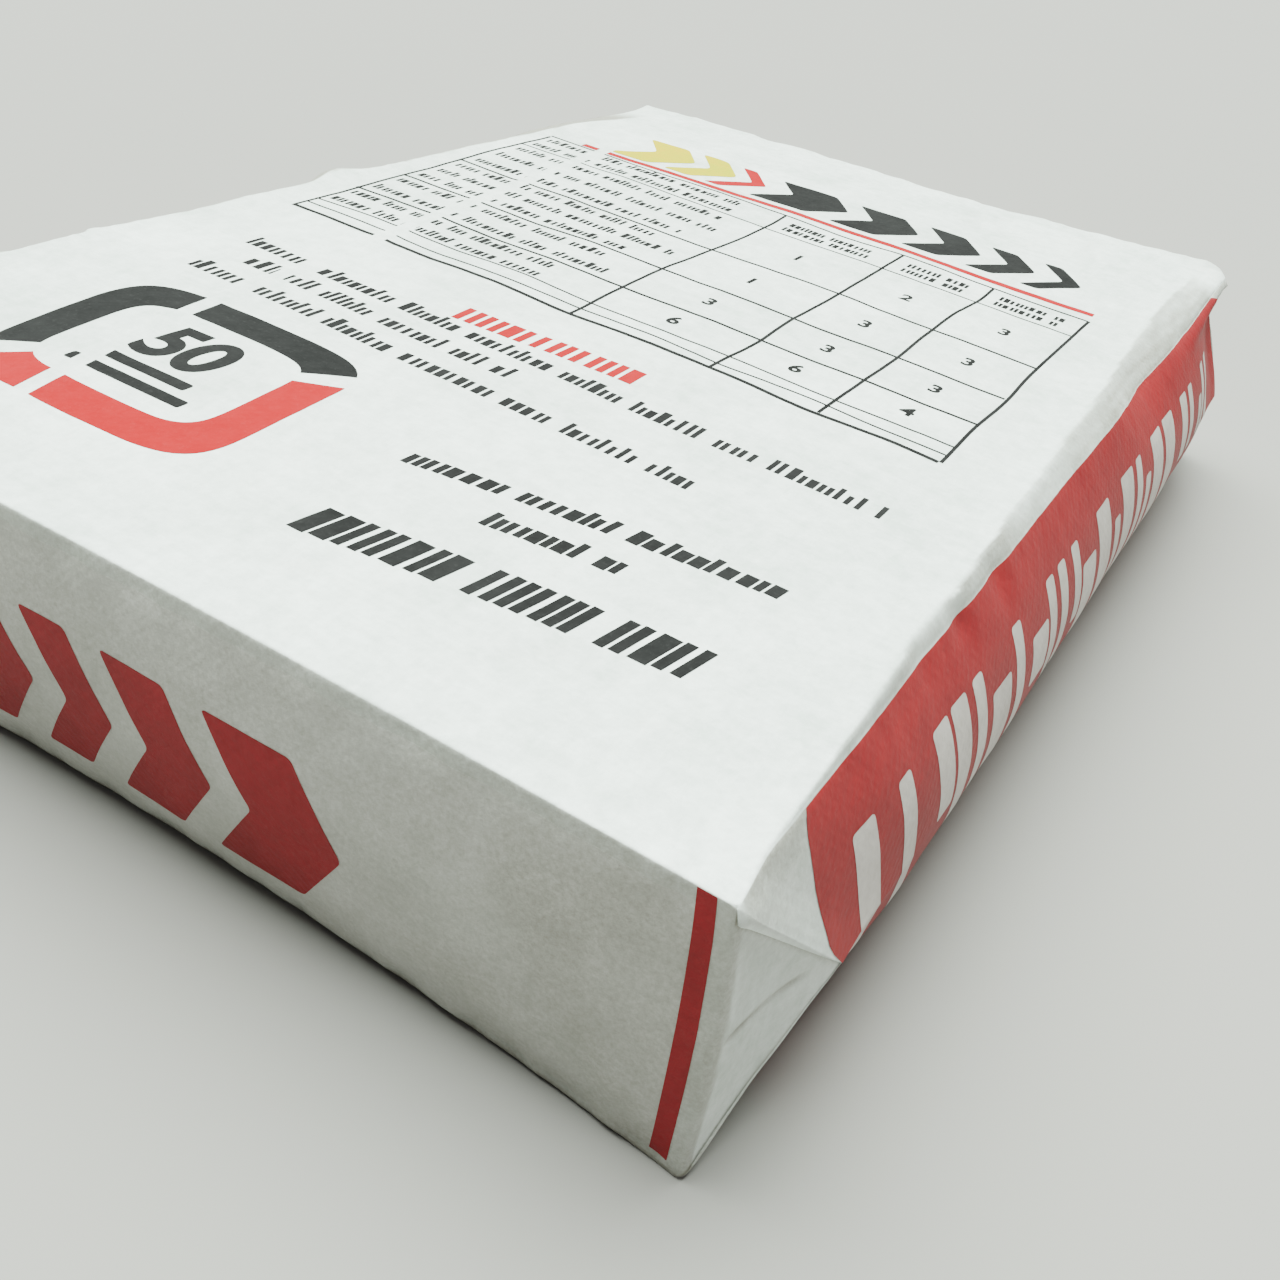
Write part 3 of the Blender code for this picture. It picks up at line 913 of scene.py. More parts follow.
class FlatPrint:
    """Flat shapes of one ink, in metres on a face of the sack, cut along its net and laid on it."""

    FIGURE_SHARE = 0.72

    def __init__(self) -> None:
        """Starts with no shapes."""
        self.mesh = bmesh.new()

    def outline(self, points: Array) -> None:
        """Adds a filled outline, given as its corners in order."""
        self.mesh.faces.new([self.mesh.verts.new((x, y, 0.0)) for x, y in np.asarray(points)])

    def ring(self, outer: Array, inner: Array) -> None:
        """Adds the strip between two open lines that have equal numbers of points."""
        for k in range(len(outer) - 1):
            self.outline([outer[k], outer[k + 1], inner[k + 1], inner[k]])

    def block(self, x: float, y: float, width: float, height: float, slant: float,
              corner: float = 0.0) -> None:
        """Adds a block from its lower left corner, which leans by a share of its height."""
        lean = slant * height
        points = np.array([(x, y), (x + width, y), (x + width + lean, y + height), (x + lean, y + height)])
        self.outline(rounded(points, corner) if corner else points)

    def rule(self, start: Spot, end: Spot, width: float, rng: Random, wander: float = 0.9 * MM,
             bend: float = 38 * MM, step: float = 6 * MM) -> None:
        """Adds a ruled line that wanders softly to either side, as print on cloth does.

        Args:
            start, end: The line's ends.
            width: Its width.
            rng: Where the wandering comes from.
            wander: How far it wanders.
            bend: The distance between its bends.
            step: The distance between its points.
        """
        start, end = np.array(start), np.array(end)
        run = np.linalg.norm(end - start)
        across = np.array([-(end - start)[1], (end - start)[0]]) / run
        along = np.linspace(0.0, run, int(run / step) + 2)
        off = rng.normal(size=int(run / bend) + 2) * wander
        bends, part = np.divmod(along / bend, 1.0)
        bends = bends.astype(int)
        off = off[bends] + (off[bends + 1] - off[bends]) * smooth(part)
        middle = start + (end - start) * along[:, None] / run + across * off[:, None]
        self.ring(middle + across * width / 2, middle - across * width / 2)

    def chevrons(self, x: float, y: float, widths: Numbers, height: float, reach: float, gap: float,
                 corner: float) -> None:
        """Adds a row of chevrons, each of two bars that lean to a point halfway up.

        Args:
            x, y: The lower left corner of the first.
            widths: How wide the bars of each one are.
            height: The height of the whole.
            reach: How far to the right the points stand.
            gap: The gap between one and the next.
            corner: The radius of their corners.
        """
        for width in widths:
            tip = (width + reach, height / 2)
            points = [(0, 0), (width, 0), tip, (width, height), (0, height), (reach, height / 2)]
            self.outline(rounded(np.array(points) + (x, y), corner))
            x += width + gap

    def number(self, text: str, x: float, y: float, height: float, slant: float, bold: float) -> None:
        """Adds plain figures centred on a place, in the software's own face, leaning and made bolder."""
        curve = bpy.data.curves.new("figures", "FONT")
        curve.body = text
        curve.align_x, curve.align_y = "CENTER", "CENTER"
        curve.offset = bold
        curve.fill_mode = "FRONT"
        holder = bpy.data.objects.new("figures", curve)
        mesh = bpy.data.meshes.new_from_object(holder)
        size = height / self.FIGURE_SHARE
        mesh.transform(Matrix(((size, slant * size, 0, x), (0, size, 0, y), (0, 0, 0, 0), (0, 0, 0, 1))))
        self.mesh.from_mesh(mesh)
        bpy.data.meshes.remove(mesh)
        bpy.data.objects.remove(holder)
        bpy.data.curves.remove(curve)

    def words(self, start: Spot, length: float, rise: float, marks: Marks, rng: Random) -> None:
        """Adds a line of plain marks in groups, where a line of small print would be.

        Args:
            start: The lower left end of the line.
            length: How far it runs.
            rise: How far it climbs for each unit of its run.
            marks: The style of the marks.
            rng: Where the sizes of marks and groups come from.
        """
        height, stroke, gap = mm(marks.height, marks.stroke, marks.gap)
        x = 0.0
        while x < length - stroke:
            for _ in range(rng.integers(*marks.group)):
                width = stroke * rng.choice([1.0, 1.0, 1.0, 1.7])
                tall = height * rng.choice([marks.low, marks.low, marks.low, 1.0])
                if x + width > length:
                    break
                self.block(start[0] + x, start[1] + rise * x, width, tall, marks.slant)
                x += width + gap * rng.choice([0.8, 1.0, 1.7])
            x += 2.2 * gap + stroke

    def split(self, place: Vector, way: Vector, dist: float) -> None:
        """Cuts every shape along the line through a place square to a way. Points within dist are on it."""
        parts = self.mesh.verts[:] + self.mesh.edges[:] + self.mesh.faces[:]
        bmesh.ops.bisect_plane(self.mesh, geom=parts, dist=dist, plane_co=place, plane_no=way)

    def cut(self, axis: int, stations: Array) -> None:
        """Cuts every shape at the stations of one axis, so that it can bend with the cloth there."""
        places = np.array([v.co[axis] for v in self.mesh.verts])
        way = Vector((1, 0, 0)) if axis == 0 else Vector((0, 1, 0))
        for station in stations[(stations > places.min()) & (stations < places.max())]:
            self.split(way * station, way, 1e-8)

    def cut_out(self, centre: Vector, way: Vector, width: float) -> None:
        """Leaves out a strip of that width, which runs through a centre square to the given way."""
        for end in (-0.5, 0.5):
            self.split(centre + way * width * end, way, 1e-7)
        middles = [(face, face.calc_center_median() - centre) for face in self.mesh.faces]
        inside = [face for face, middle in middles if abs(middle.dot(way)) < width / 2]
        bmesh.ops.delete(self.mesh, geom=inside, context="FACES")

    def lay(self, name: str, net: Net, off: float, material: Material, slot: str,
            slide: Callable[[Array], Array] | None = None) -> Piece:
        """Cuts the shapes along the net and lays them on its facets as one thin sheet of ink.

        Args:
            name: The piece's name.
            net: The face that it goes on.
            off: How far it stands off the net.
            material: The ink.
            slot: The record's material slot that it belongs to; it is not used.
            slide: Turns places as drawn into the net's stations, if they differ along the first axis.

        Returns:
            The new piece.
        """
        bmesh.ops.triangulate(self.mesh, faces=[f for f in self.mesh.faces if len(f.verts) > 4])
        self.cut(1, net.second)
        if slide:
            moved = slide(np.array([v.co[:2] for v in self.mesh.verts]))
            for vertex, x in zip(self.mesh.verts, moved):
                vertex.co.x = x
        self.cut(0, net.first)
        self.mesh.verts.index_update()
        places = np.array([v.co[:2] for v in self.mesh.verts])
        faces = [[v.index for v in f.verts] for f in self.mesh.faces]
        self.mesh.free()
        points, outward, flat = net.at(places, off)
        a, b, c = np.array([f[:3] for f in faces]).T
        normal = np.cross(points[b] - points[a], points[c] - points[a])
        if np.sum(normal * outward[a]) < 0:
            faces = [f[::-1] for f in faces]
        corners = flat[np.concatenate([np.array(f) for f in faces])]
        return link_piece(name, make_mesh(points, faces, corners, np.zeros(len(points))), material)


def rounded(points: Array, radius: float, steps: int = 6) -> Array:
    """Rounds each corner of an outline by a curve that starts and ends that far from it."""
    points = np.asarray(points, dtype=float)
    to_next = [np.roll(points, turn, axis=0) - points for turn in (1, -1)]
    start, end = (points + way / np.linalg.norm(way, axis=1, keepdims=True) * radius for way in to_next)
    t = np.linspace(0.0, 1.0, steps)[None, :, None]
    curve = (1 - t) ** 2 * start[:, None] + 2 * t * (1 - t) * points[:, None] + t**2 * end[:, None]
    return curve.reshape(-1, 2)


def linear(hex_colour: str) -> tuple[float, float, float, float]:
    """Turns an sRGB hex colour into the linear numbers that a shader takes."""
    parts = [int(hex_colour[k: k + 2], 16) / 255 for k in (0, 2, 4)]
    return (*(p / 12.92 if p <= 0.04045 else ((p + 0.055) / 1.055) ** 2.4 for p in parts), 1.0)


class Finish:
    """A material in the making, placed by the object's own coordinates."""

    def __init__(self, name: str) -> None:
        """Starts a material with an empty node tree."""
        self.material = bpy.data.materials.new(name)
        self.material.use_nodes = True
        self.tree = self.material.node_tree
        self.tree.nodes.clear()
        self.place = self.add_node("ShaderNodeTexCoord").outputs["Object"]

    def add_node(self, kind: str, settings: dict | None = None, **links: object) -> bpy.types.Node:
        """Adds a node with its settings, and sets or links its inputs.

        Args:
            kind: The node's type.
            settings: Values of the node's own properties.
            **links: For each input, by name with _ for spaces or by number as _0: a value or a socket.

        Returns:
            The new node.
        """
        node = self.tree.nodes.new(kind)
        for key, value in (settings or {}).items():
            setattr(node, key, value)
        for key, value in links.items():
            socket = node.inputs[int(key[1:])] if key[1:].isdigit() else node.inputs[key.replace("_", " ")]
            if isinstance(value, Socket):
                self.tree.links.new(value, socket)
            else:
                socket.default_value = value
        return node

    def noise(self, size: float, detail: float, rough: float = 0.5, place: Socket | None = None) -> Socket:
        """Soft noise with lumps of that size in metres."""
        links = {"Vector": place or self.place, "Scale": 1 / size, "Detail": detail, "Roughness": rough}
        return self.add_node("ShaderNodeTexNoise", **links).outputs["Fac"]

    def span(self, value: Socket, low: float, high: float, to: Spot = (0.0, 1.0)) -> Socket:
        """Carries a value from one range to another, and keeps it inside."""
        links = {"Value": value, "From_Min": low, "From_Max": high, "To_Min": to[0], "To_Max": to[1]}
        return self.add_node("ShaderNodeMapRange", **links).outputs[0]

    def reckon(self, operation: str, *values: object) -> Socket:
        """One step of arithmetic."""
        links = {f"_{k}": value for k, value in enumerate(values)}
        return self.add_node("ShaderNodeMath", {"operation": operation}, **links).outputs[0]

    def mix(self, factor: Socket, first: object, second: object) -> Socket:
        """Blends two colours, given as sockets or in hex."""
        first, second = (linear(colour) if isinstance(colour, str) else colour for colour in (first, second))
        links = {"_0": factor, "_6": first, "_7": second}
        return self.add_node("ShaderNodeMix", {"data_type": "RGBA"}, **links).outputs[2]

    def bump(self, height: Socket, distance: float, **links: Socket) -> Socket:
        """Turns a height into a normal, on top of another normal if one is given."""
        return self.add_node("ShaderNodeBump", Height=height, Distance=distance, **links).outputs[0]

    def done(self, **surface: object) -> Material:
        """Joins a principled surface to the output, and gives the material."""
        shader = self.add_node("ShaderNodeBsdfPrincipled", **surface)
        self.add_node("ShaderNodeOutputMaterial", Surface=shader.outputs[0])
        return self.material


@dataclass(frozen=True)
class LaminatedWeave:
    """Woven polypropylene under a thin coat, bare or printed.

    It is tubular cloth of flat slit tapes, extrusion coated with clear polypropylene. The coat gives it a
    dull waxy gloss. Under it each tape is a little lighter or darker than the next, the weave shows as a fine
    square grain, and ink has small flecks where it missed the cloth. Dust and painted shade grey it where the
    mesh carries them.
    """

    name: str
    colour: str
    shade: str
    # The grey of both the dust and the painted shade.
    shade_and_dust: str = "8E8B80"
    fleck: str | None = None
    flecks: float = 0.3
    roughness: float = 0.55
    gloss: float = 0.35
    ior: float = 1.49
    tape: float = 2.2 * MM
    tape_length: float = 40 * MM
    tape_relief: float = 0.03 * MM
    crumple: float = 6 * MM
    crumple_relief: float = 0.45 * MM

    def make(self) -> Material:
        """Builds the material: each tape's tone, flecks, dust and painted shade, and the bump of weave and
        crumple.
        """
        finish = Finish(self.name)
        sheet = finish.add_node("ShaderNodeUVMap", {"uv_map": "cloth_sheet"}).outputs[0]
        along, across = 1 / self.tape_length, 1 / self.tape
        tone = finish.noise(7 * MM, 8.0, 0.75)
        for scale, share in (((along, across, 0.0), 0.22), ((across, along, 0.0), 0.18)):
            tapes = finish.add_node("ShaderNodeMapping", Vector=sheet, Scale=scale).outputs[0]
            tone = finish.reckon("MULTIPLY_ADD", finish.noise(1.0, 2.0, 0.6, tapes), share, tone)
        tone = finish.reckon("MULTIPLY_ADD", finish.noise(45 * MM, 3.0, 0.6), 0.8, tone)
        colour = finish.mix(finish.span(tone, 0.88, 1.35), self.colour, self.shade)
        if self.fleck:
            missed = finish.span(finish.noise(1.5 * MM, 3.0, 0.7), 0.56, 0.72, (0.0, self.flecks))
            colour = finish.mix(missed, colour, self.fleck)
        # Greys the colour by the mesh's dust and painted shade, a little unevenly.
        dust_and_shade = finish.add_node("ShaderNodeAttribute", {"attribute_name": "dust_and_shade"}).outputs["Fac"]
        uneven = finish.span(finish.noise(1.6 * MM, 4.0, 0.8), 0.35, 0.65, (0.86, 1.14))
        colour = finish.mix(finish.reckon("MULTIPLY", dust_and_shade, uneven), colour, self.shade_and_dust)

        crumple = finish.bump(finish.noise(self.crumple, 7.0, 0.62), self.crumple_relief)
        woven = finish.bump(self.weave(finish, sheet), self.tape_relief, Normal=crumple)
        return finish.done(Base_Color=colour, Roughness=self.roughness, IOR=self.ior,
                           Specular_IOR_Level=self.gloss, Normal=woven)

    def weave(self, finish: Finish, sheet: Socket) -> Socket:
        """The plain weave's height: a sine across times a sine along, one tape to each half wave."""
        ways = finish.add_node("ShaderNodeSeparateXYZ", Vector=sheet).outputs
        turns = [finish.reckon("MULTIPLY", ways[way], math.pi / self.tape) for way in (0, 1)]
        return finish.reckon("MULTIPLY", *(finish.reckon("SINE", turn) for turn in turns))


@dataclass(frozen=True)
class PortlandPowder:
    """Cement powder: dry, dull and evenly grey, with soft clods."""

    name: str = "cement_powder"
    colour: str = "9A9A95"
    shade: str = "8B8B86"

    def make(self) -> Material:
        """Builds the material from noise the size of its clods."""
        finish = Finish(self.name)
        clods = finish.noise(8 * MM, 8.0)
        colour = finish.mix(clods, self.colour, self.shade)
        return finish.done(Base_Color=colour, Roughness=0.95, Normal=finish.bump(clods, 1 * MM))


@dataclass(frozen=True)
class FloorPaint:
    """Matt pale floor paint, faintly clouded."""

    name: str = "matt_floor_paint"
    colour: str = "96938F"
    shade: str = "92908C"

    def make(self) -> Material:
        """Builds the material from one broad noise."""
        finish = Finish(self.name)
        colour = finish.mix(finish.noise(1 / 1.5, 2.0), self.colour, self.shade)
        return finish.done(Base_Color=colour, Roughness=0.9)


@dataclass(frozen=True)
class FacePrint:
    """The print on the face: a ruled table of plain figures, lines of plain marks, and plain shapes."""

    shape: SackShape
    off: float = 0.12 * MM
    table_columns: Numbers = mm(-170, -14, 54, 104, 154)
    table_rows: Numbers = mm(246, 254, 262, 290, 326, 372, 428, 456)
    column_rule: float = 1.5 * MM
    row_rules: Numbers = mm(2.3, 1.1, 1.1, 1.7, 1.7, 1.7, 1.1, 1.5)
    table_tilt: float = -0.035
    figures: tuple[str, ...] = ("664", "333", "133", "123", "")
    figure_height: float = 8.5 * MM
    row_marks: Marks = Marks(7.6, 1.6, 0.95, low=0.72)
    head_marks: Marks = Marks(6.2, 1.5, 0.8, group=(6, 11), low=0.9)
    red_marks: Marks = Marks(13, 3.4, 2.2, group=(12, 16), low=1.0)
    thin_marks: Marks = Marks(10, 2.0, 1.3)
    bold_marks: Marks = Marks(9, 2.7, 1.0, 0.15, (7, 11), 0.75)
    foot_marks: Marks = Marks(15.5, 3.6, 1.3, 0.22, (4, 9), 1.0)
    frame_middle: Spot = (-82 * MM, 95 * MM)
    frame_size: Spot = (57 * MM, 47 * MM)
    frame_bar: float = 16 * MM
    frame_lean: float = 0.12

    def build(self, net: Net, dark: Material, red: Material, yellow: Material) -> None:
        """Draws each ink's shapes, leaves out the strip hidden in the pleat, and lays them on the face."""
        inks = {"dark": FlatPrint(), "red": FlatPrint(), "yellow": FlatPrint()}
        rng = np.random.default_rng(5)
        self.table(inks["dark"], rng)
        self.lines(inks["dark"], inks["red"], rng)
        self.weight(inks["dark"], inks["red"])
        self.chevron_row(inks["dark"], inks["red"], inks["yellow"])
        along = Vector((self.shape.pleat_slant, 1.0, 0.0)).normalized()
        across = Vector((along.y, -along.x, 0.0))
        for (ink, shapes), material in zip(inks.items(), (dark, red, yellow)):
            shapes.cut_out(Vector((*self.shape.pleat_near, 0.0)), across, self.shape.pleat_width)
            shapes.lay(f"face_print_{ink}", net, self.off, material, "woven_sack")

    def tilted(self, x: float, y: float) -> Spot:
        """A place in the table, which is printed a little out of square."""
        return x, y + self.table_tilt * x

    def table(self, ink: FlatPrint, rng: Random) -> None:
        """Rules the table and fills it: figures in the narrow columns, rows of marks in the wide one."""
        columns, rows = self.table_columns, self.table_rows
        spans = list(zip(columns[1:], columns[2:]))
        for x in columns:
            ink.rule(self.tilted(x, rows[0]), self.tilted(x, rows[-1]), self.column_rule, rng)
        for y, width in zip(rows, self.row_rules):
            ink.rule(self.tilted(columns[0], y), self.tilted(columns[-1], y), width, rng)
        for low, high, figures in zip(rows[2:], rows[3:], self.figures):
            for (left, right), figure in zip(spans, figures):
                middle = self.tilted((left + right) / 2, (low + high) / 2)
                ink.number(figure, *middle, self.figure_height, 0.0, bold=0.03)
            lines = 3 if high - low > 40 * MM else 2 if high - low > 20 * MM else 1
            for line in range(lines):
                y = low + (high - low) * (line + 0.5) / lines - 3.2 * MM
                length = (146 - 26 * rng.random()) * MM
                ink.words(self.tilted(columns[0] + 4 * MM, y), length, self.table_tilt, self.row_marks, rng)
        for (left, right), line in product(spans, range(2)):
            start = self.tilted(left + 8 * MM, rows[-2] + (5 + 9 * line) * MM)
            ink.words(start, right - left - 16 * MM, self.table_tilt, self.head_marks, rng)

    def lines(self, dark: FlatPrint, red: FlatPrint, rng: Random) -> None:
        """Sets the lines of marks: a red heading, three thin lines, and three bold ones at the near end."""
        for ink, x, y, length, rise, marks in (
            (red, -42, 203, 92, 0.04, self.red_marks),
            (dark, -146, 197, 305, -0.052, self.thin_marks),
            (dark, -130, 179, 138, -0.052, self.thin_marks),
            (dark, -142, 161, 243, -0.052, self.thin_marks),
            (dark, 19, 97, 137, 0.115, self.bold_marks),
            (dark, 60, 84, 49, 0.115, self.bold_marks),
            (dark, 18, 46, 132, 0.125, self.foot_marks),
        ):
            ink.words(mm(x, y), length * MM, rise, marks, rng)

    def weight(self, dark: FlatPrint, red: FlatPrint) -> None:
        """Draws a plain two-coloured rounded frame round the figure of the weight and two short bars."""
        centre, size = np.array(self.frame_middle), np.array(self.frame_size)
        for ink, start, stop in ((dark, 40, 214), (red, 224, 390)):
            turn = np.radians(np.linspace(start, stop, 61))
            loop = np.stack([np.cos(turn), np.sin(turn)], axis=-1)
            loop = loop * (np.abs(loop) ** 5).sum(axis=-1, keepdims=True) ** (-1 / 5)
            ink.ring(centre + loop * size, centre + loop * (size - self.frame_bar))
        dark.number("50", centre[0], centre[1] + 8 * MM, 25 * MM, self.frame_lean, bold=0.035)
        for y, length in (mm(-13, 40), mm(-22, 54)):
            dark.block(centre[0] - length / 2, centre[1] + y, length, 5 * MM, self.frame_lean, 1.2 * MM)

    def chevron_row(self, dark: FlatPrint, red: FlatPrint, yellow: FlatPrint) -> None:
        """Draws a row of plain chevrons in yellow, red and dark ink, with a red rule under them."""
        for ink, x, y, widths, size in (
            (yellow, -136, 471, (26, 17), (50, 18, 10, 4)),
            (red, -73, 471, (9,), (50, 18, 15, 2)),
            (dark, -46, 473, (34, 27, 21, 15, 10), (47, 17, 15, 2.5)),
        ):
            ink.chevrons(*mm(x, y), mm(*widths), *mm(*size))
        steps = np.linspace(0.0, 1.0, 40)[:, None]
        rule = np.array(self.tilted(*mm(-150, 461.5))) + steps * mm(304, -5)
        rule[:, 1] -= 1.2 * MM * np.sin(steps[:, 0] * 9.0)
        red.ring(rule + mm(0, 2.5), rule - mm(0, 2.5))


@dataclass(frozen=True)
class SidePrint:
    """The red panel down a side, with a row of plain unprinted blocks on it."""

    shape: SackShape
    off_middle: Numbers = (0.0, 0.12, 0.20, 0.40, 0.58, 0.76, 0.87, 0.94, 1.0)
    near_edge: Numbers = (0.0491, 0.0446, 0.0425, 0.0405, 0.0390, 0.0385, 0.0387, 0.0395, 0.0415)
    far_edge: Numbers = (0.0491, 0.0433, 0.0394, 0.0298, 0.0215, 0.0190, 0.0330, 0.0450, 0.0520)
    fold_margin: float = 0.25 * MM
    start: float = 66 * MM
    stop: float = 80 * MM
    low: float = 23 * MM
    high: float = 84 * MM
    slant: float = -0.12
    panel_off: float = 0.16 * MM
    blocks_off: float = 0.26 * MM

    def slide(self, places: Array) -> Array:
        """Turns distances from the end into the panel net's stations, which start at the ear's fold."""
        shape = self.shape
        edge = shape.ear_edge(2 * places[:, 1] / shape.corner_height - 1)
        from_end = np.minimum(places[:, 0], shape.length - places[:, 0])
        station = (from_end - edge) / (shape.half_length - edge) * shape.half_length
        return np.where(places[:, 0] < shape.half_length, station, shape.length - station)

    def build(self, name: str, net: Net, red: Material, white: Material) -> None:
        """Lays the red panel from fold to fold and the blocks over it."""
        shape = self.shape
        height = np.linspace(self.fold_margin, shape.corner_height - self.fold_margin, 49)
        off = np.abs(2.0 * height / shape.corner_height - 1.0)
        ends = [np.interp(off, self.off_middle, edge) for edge in (self.near_edge, self.far_edge)]
        near_end, far_end = (np.maximum(end, shape.ear_edge(off) + 0.1 * MM) for end in ends)
        lines = near_end, np.full_like(near_end, shape.half_length), shape.length - far_end
        lines = [np.stack([line, height], axis=-1) for line in lines]
        panel = FlatPrint()
        for line, following in zip(lines, lines[1:]):
            panel.ring(line, following)
        panel.lay(f"{name}_panel_red", net, self.panel_off, red, "woven_sack", self.slide)
        blocks, rng = FlatPrint(), np.random.default_rng(8)
        x, tall = self.start, self.high - self.low
        while x < shape.length - self.stop:
            width = rng.choice([9, 9, 13, 19]) * MM
            foot = rng.choice([0.0, 0.0, 0.0, 0.45])
            head = rng.choice([1.0, 1.0, 1.0, 0.8])
            blocks.block(x, self.low + foot * tall, width, tall * (head - foot), self.slant, 2 * MM)
            x += width + rng.choice([6, 6, 15]) * MM
        blocks.lay(f"{name}_panel_blocks", net, self.blocks_off, white, "woven_sack", self.slide)


@dataclass(frozen=True)
class EndPrint:
    """The red shapes on an end, and the red stripe down each of its sides."""

    shape: SackShape
    off: float = 0.12 * MM
    stripe: Spot = (184.0 * MM, 189.4 * MM)
    stripe_foot: float = 5.0 * MM
    stripe_top_margin: float = 0.4 * MM
    widths: Numbers = mm(10, 14, 19, 25, 32)
    start: Spot = (-93 * MM, 16 * MM)
    height: float = 56 * MM
    reach: float = 17 * MM
    gap: float = 14.5 * MM
    corner: float = 2 * MM

    def build(self, name: str, net: Net, red: Material) -> None:
        """Draws a row of plain chevrons between two stripes and lays them on the end."""
        ink = FlatPrint()
        foot, top = self.stripe_foot, self.shape.corner_height - self.stripe_top_margin
        for way in (-1.0, 1.0):
            inner, outer = (way * x for x in self.stripe)
            ink.outline([(inner, foot), (outer, foot), (outer, top), (inner, top)])
        ink.chevrons(*self.start, self.widths, self.height, self.reach, self.gap, self.corner)
        ink.lay(f"{name}_print_red", net, self.off, red, "cover_patch")


@dataclass(frozen=True)
class Studio:
    """A pale floor, soft light from above, and the camera of the photograph."""

    shape: SackShape
    focal_pixels: float = 1350.0
    sensor: float = 36.0
    right: Place = (0.8467, 0.5097, 0.1520)
    up: Place = (-0.4012, 0.4237, 0.8121)
    back: Place = (0.3495, -0.7488, 0.5634)
    from_corner: Place = (66.4 * MM, -215.0 * MM, 218.7 * MM)
    floor_reach: float = 12.0
    room_light: float = 0.12

    def camera(self) -> None:
        """Places the camera by its distance from the face's near right corner and its three axes."""
        data = bpy.data.cameras.new("photo_camera")
        data.sensor_width = self.sensor
        data.lens = self.sensor * self.focal_pixels / PHOTO_PIXELS
        data.clip_start = 10 * MM
        camera = bpy.data.objects.new("photo_camera", data)
        corner = Vector((self.shape.half_width, -self.shape.half_length, self.shape.corner_height))
        axes = Matrix((self.right, self.up, self.back)).transposed()
        camera.matrix_world = Matrix.Translation(corner + Vector(self.from_corner)) @ axes.to_4x4()
        bpy.context.scene.collection.objects.link(camera)
        bpy.context.scene.camera = camera

    def softbox(self, name: str, way: Place, power: float, angle: float, colour: str) -> None:
        """Adds a wide soft light from far off, which comes from the given way."""
        data = bpy.data.lights.new(name, "SUN")
        data.energy = power
        data.angle = math.radians(angle)
        data.color = linear(colour)[:3]
        lamp = bpy.data.objects.new(name, data)
        lamp.rotation_euler = Vector(way).to_track_quat("Z", "Y").to_euler()
        lamp.location = Vector(way) * 3
        bpy.context.scene.collection.objects.link(lamp)

    def floor(self) -> None:
        """Adds a wide pale floor under the sack."""
        mesh = bpy.data.meshes.new("floor")
        reach = self.floor_reach
        corners = [(x * reach, y * reach, 0) for x, y in ((-1, -1), (1, -1), (1, 1), (-1, 1))]
        mesh.from_pydata(corners, [], [(0, 1, 2, 3)])
        mesh.materials.append(FloorPaint().make())
        floor = bpy.data.objects.new("floor", mesh)
        bpy.context.scene.collection.objects.link(floor)

    def build(self) -> None:
        """Sets up the camera, the floor, the even light of the room and the two softboxes."""
        self.camera()
        self.floor()
        world = bpy.data.worlds.new("studio")
        world.use_nodes = True
        backdrop = world.node_tree.nodes["Background"]
        backdrop.inputs["Color"].default_value = linear("F8F8F8")
        backdrop.inputs["Strength"].default_value = self.room_light
        bpy.context.scene.world = world
        self.softbox("overhead_softbox", (-0.30, 0.25, 0.92), 17.0, 66.0, "F1FCF4")
        self.softbox("side_softbox", (0.80, -0.10, 0.50), 0.5, 50.0, "FFFFFF")


def filled_shape() -> SackShape:
    """The sack of the photograph, with its dents beside the long folds and its creases."""
    dents = (
        ((194, -156, 100), (9, 7, 12), -2.0),
        ((194, -119, 100), (11, 8, 12), -2.2),
        ((190, 113, 100), (20, 32, 14), -4.2),
        ((-191, -9, 106), (12, 13, 16), 4.0),
    )
    creases = (
        ((0.2010, -0.3100, 0.0530), (0.2104, -0.2720, 0.0565), 1.4, -0.9, 0.6),
        ((0.0930, -0.2955, 0.1041), (0.0980, -0.2745, 0.1050), 5, 0.8, 0.04),
        ((0.0960, -0.2760, 0.1050), (0.1210, -0.2565, 0.1060), 5, -1.0, 0.10),
        ((0.0220, -0.2810, 0.1054), (0.0460, -0.2765, 0.1054), 5, -0.8, 0.08),
        ((0.1420, -0.2690, 0.1047), (0.1600, -0.2655, 0.1046), 5, 0.8, 0.05),
        ((0.0415, 0.3050, 0.1048), (0.0640, 0.2255, 0.1095), 4.5, -1.1, 0.16),
        ((0.0560, 0.3060, 0.1052), (0.0790, 0.2360, 0.1092), 4.5, -1.0, 0.12),
        ((0.1110, 0.3060, 0.1079), (0.1285, 0.2395, 0.1100), 4.5, -1.1, 0.16),
    )
    return SackShape(
        dents=tuple(Dent(mm(*place), mm(*spread), height * MM) for place, spread, height in dents),
        creases=tuple(Crease(start, end, *mm(*size), painted_shade_and_dirt) for start, end, *size, painted_shade_and_dirt in creases),
    )


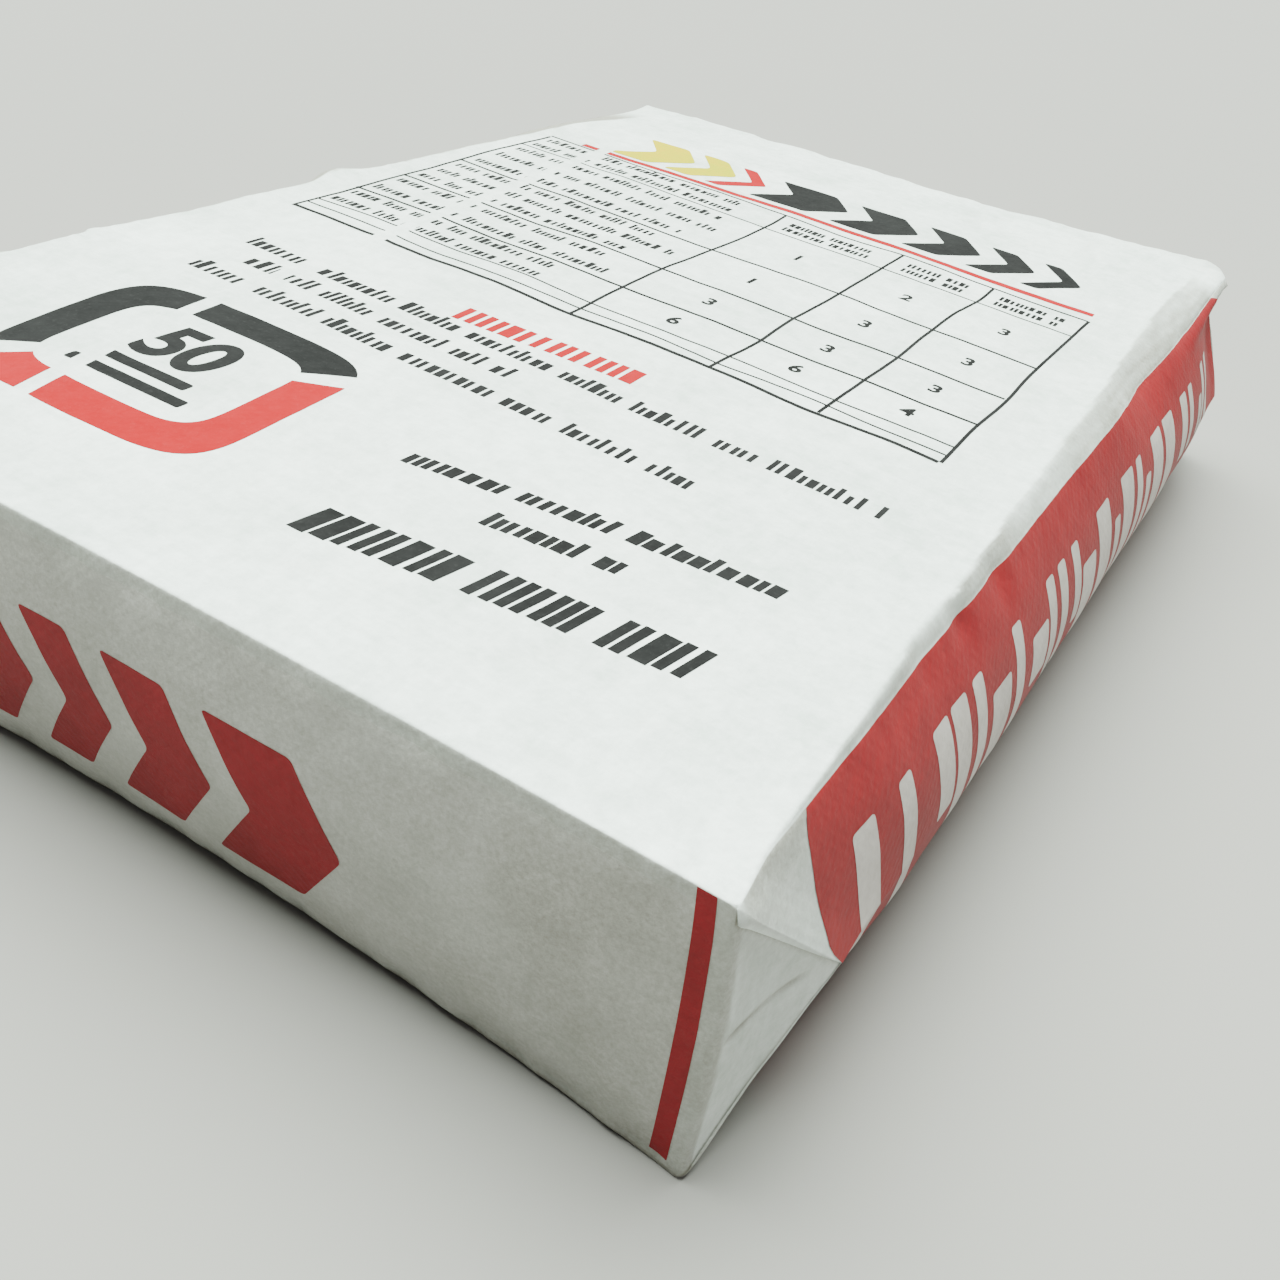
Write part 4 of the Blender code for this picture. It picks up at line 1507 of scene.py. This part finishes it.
def main() -> None:
    """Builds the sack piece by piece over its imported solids."""
    logging.basicConfig(level=logging.INFO, format="%(message)s")
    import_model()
    shape = filled_shape()
    Studio(shape).build()

    matt = {"roughness": 0.75, "gloss": 0.05}
    satin = {"flecks": 0.2, "gloss": 0.18}
    finishes = [LaminatedWeave(*colours, **more).make() for colours, more in (
        (("laminated_woven_polypropylene", "F5FCF8", "CDD8D1"), {}),
        (("welded_patch_polypropylene", "F4F6F3", "CDD1CC"), {"crumple_relief": 0.6 * MM}),
        (("valve_sleeve_polypropylene", "EEF0ED", "DEE0DC"), {"roughness": 0.4}),
        (("dark_grey_flexo_ink", "1D1D1D", "282828"), {"fleck": "3C3C3C", "roughness": 0.8, "gloss": 0.04}),
        (("face_red_flexo_ink", "99171B", "A02226"), {"fleck": "B04A4C", "flecks": 0.12, **matt}),
        (("side_red_flexo_ink", "91272A", "802125"), {"fleck": "A24643", **satin}),
        # The end's red is set a little darker than the side's red ink, as painted shade on the end.
        (("end_red_flexo_ink_painted_shade", "8F1F26", "7F1A1F"), {"fleck": "963634", **satin}),
        (("yellow_flexo_ink", "C4AE00", "B0B010"), {"fleck": "D8CC60", "flecks": 0.15, **matt}),
        # The bare cloth on a side's panel is a greyer copy of the face's cloth, as painted shade on the side.
        (("unprinted_cloth_on_panel_painted_shade", "C6BFB9", "B2AAA4"), {}),
    )]
    cloth, patch_cloth, sleeve_film, dark_ink, red_ink, side_red, end_red, yellow_ink, unprinted = finishes

    skin = SackSkin(shape)
    nets = skin.nets()
    skin.build(nets, cloth)
    CementCore(shape).build(PortlandPowder().make())
    patch = CoverPatch(shape)
    for side, node in ((Side.BOTTOM_END, "bottom_cover_patch"), (Side.VALVE_END, "valve_end_cover_patch")):
        patch.build(f"{node}_film", nets[side], patch_cloth, node)
    ValveSleeve(shape).build(sleeve_film)
    FacePrint(shape).build(nets[Side.FACE], dark_ink, red_ink, yellow_ink)
    for side in (Side.RIGHT, Side.LEFT):
        SidePrint(shape).build(side.name.lower(), skin.panel(nets[side]), side_red, unprinted)
    for side in (Side.BOTTOM_END, Side.VALVE_END):
        EndPrint(shape).build(side.name.lower(), patch.surface(nets[side]), end_red)


if __name__ == "__main__":
    main()
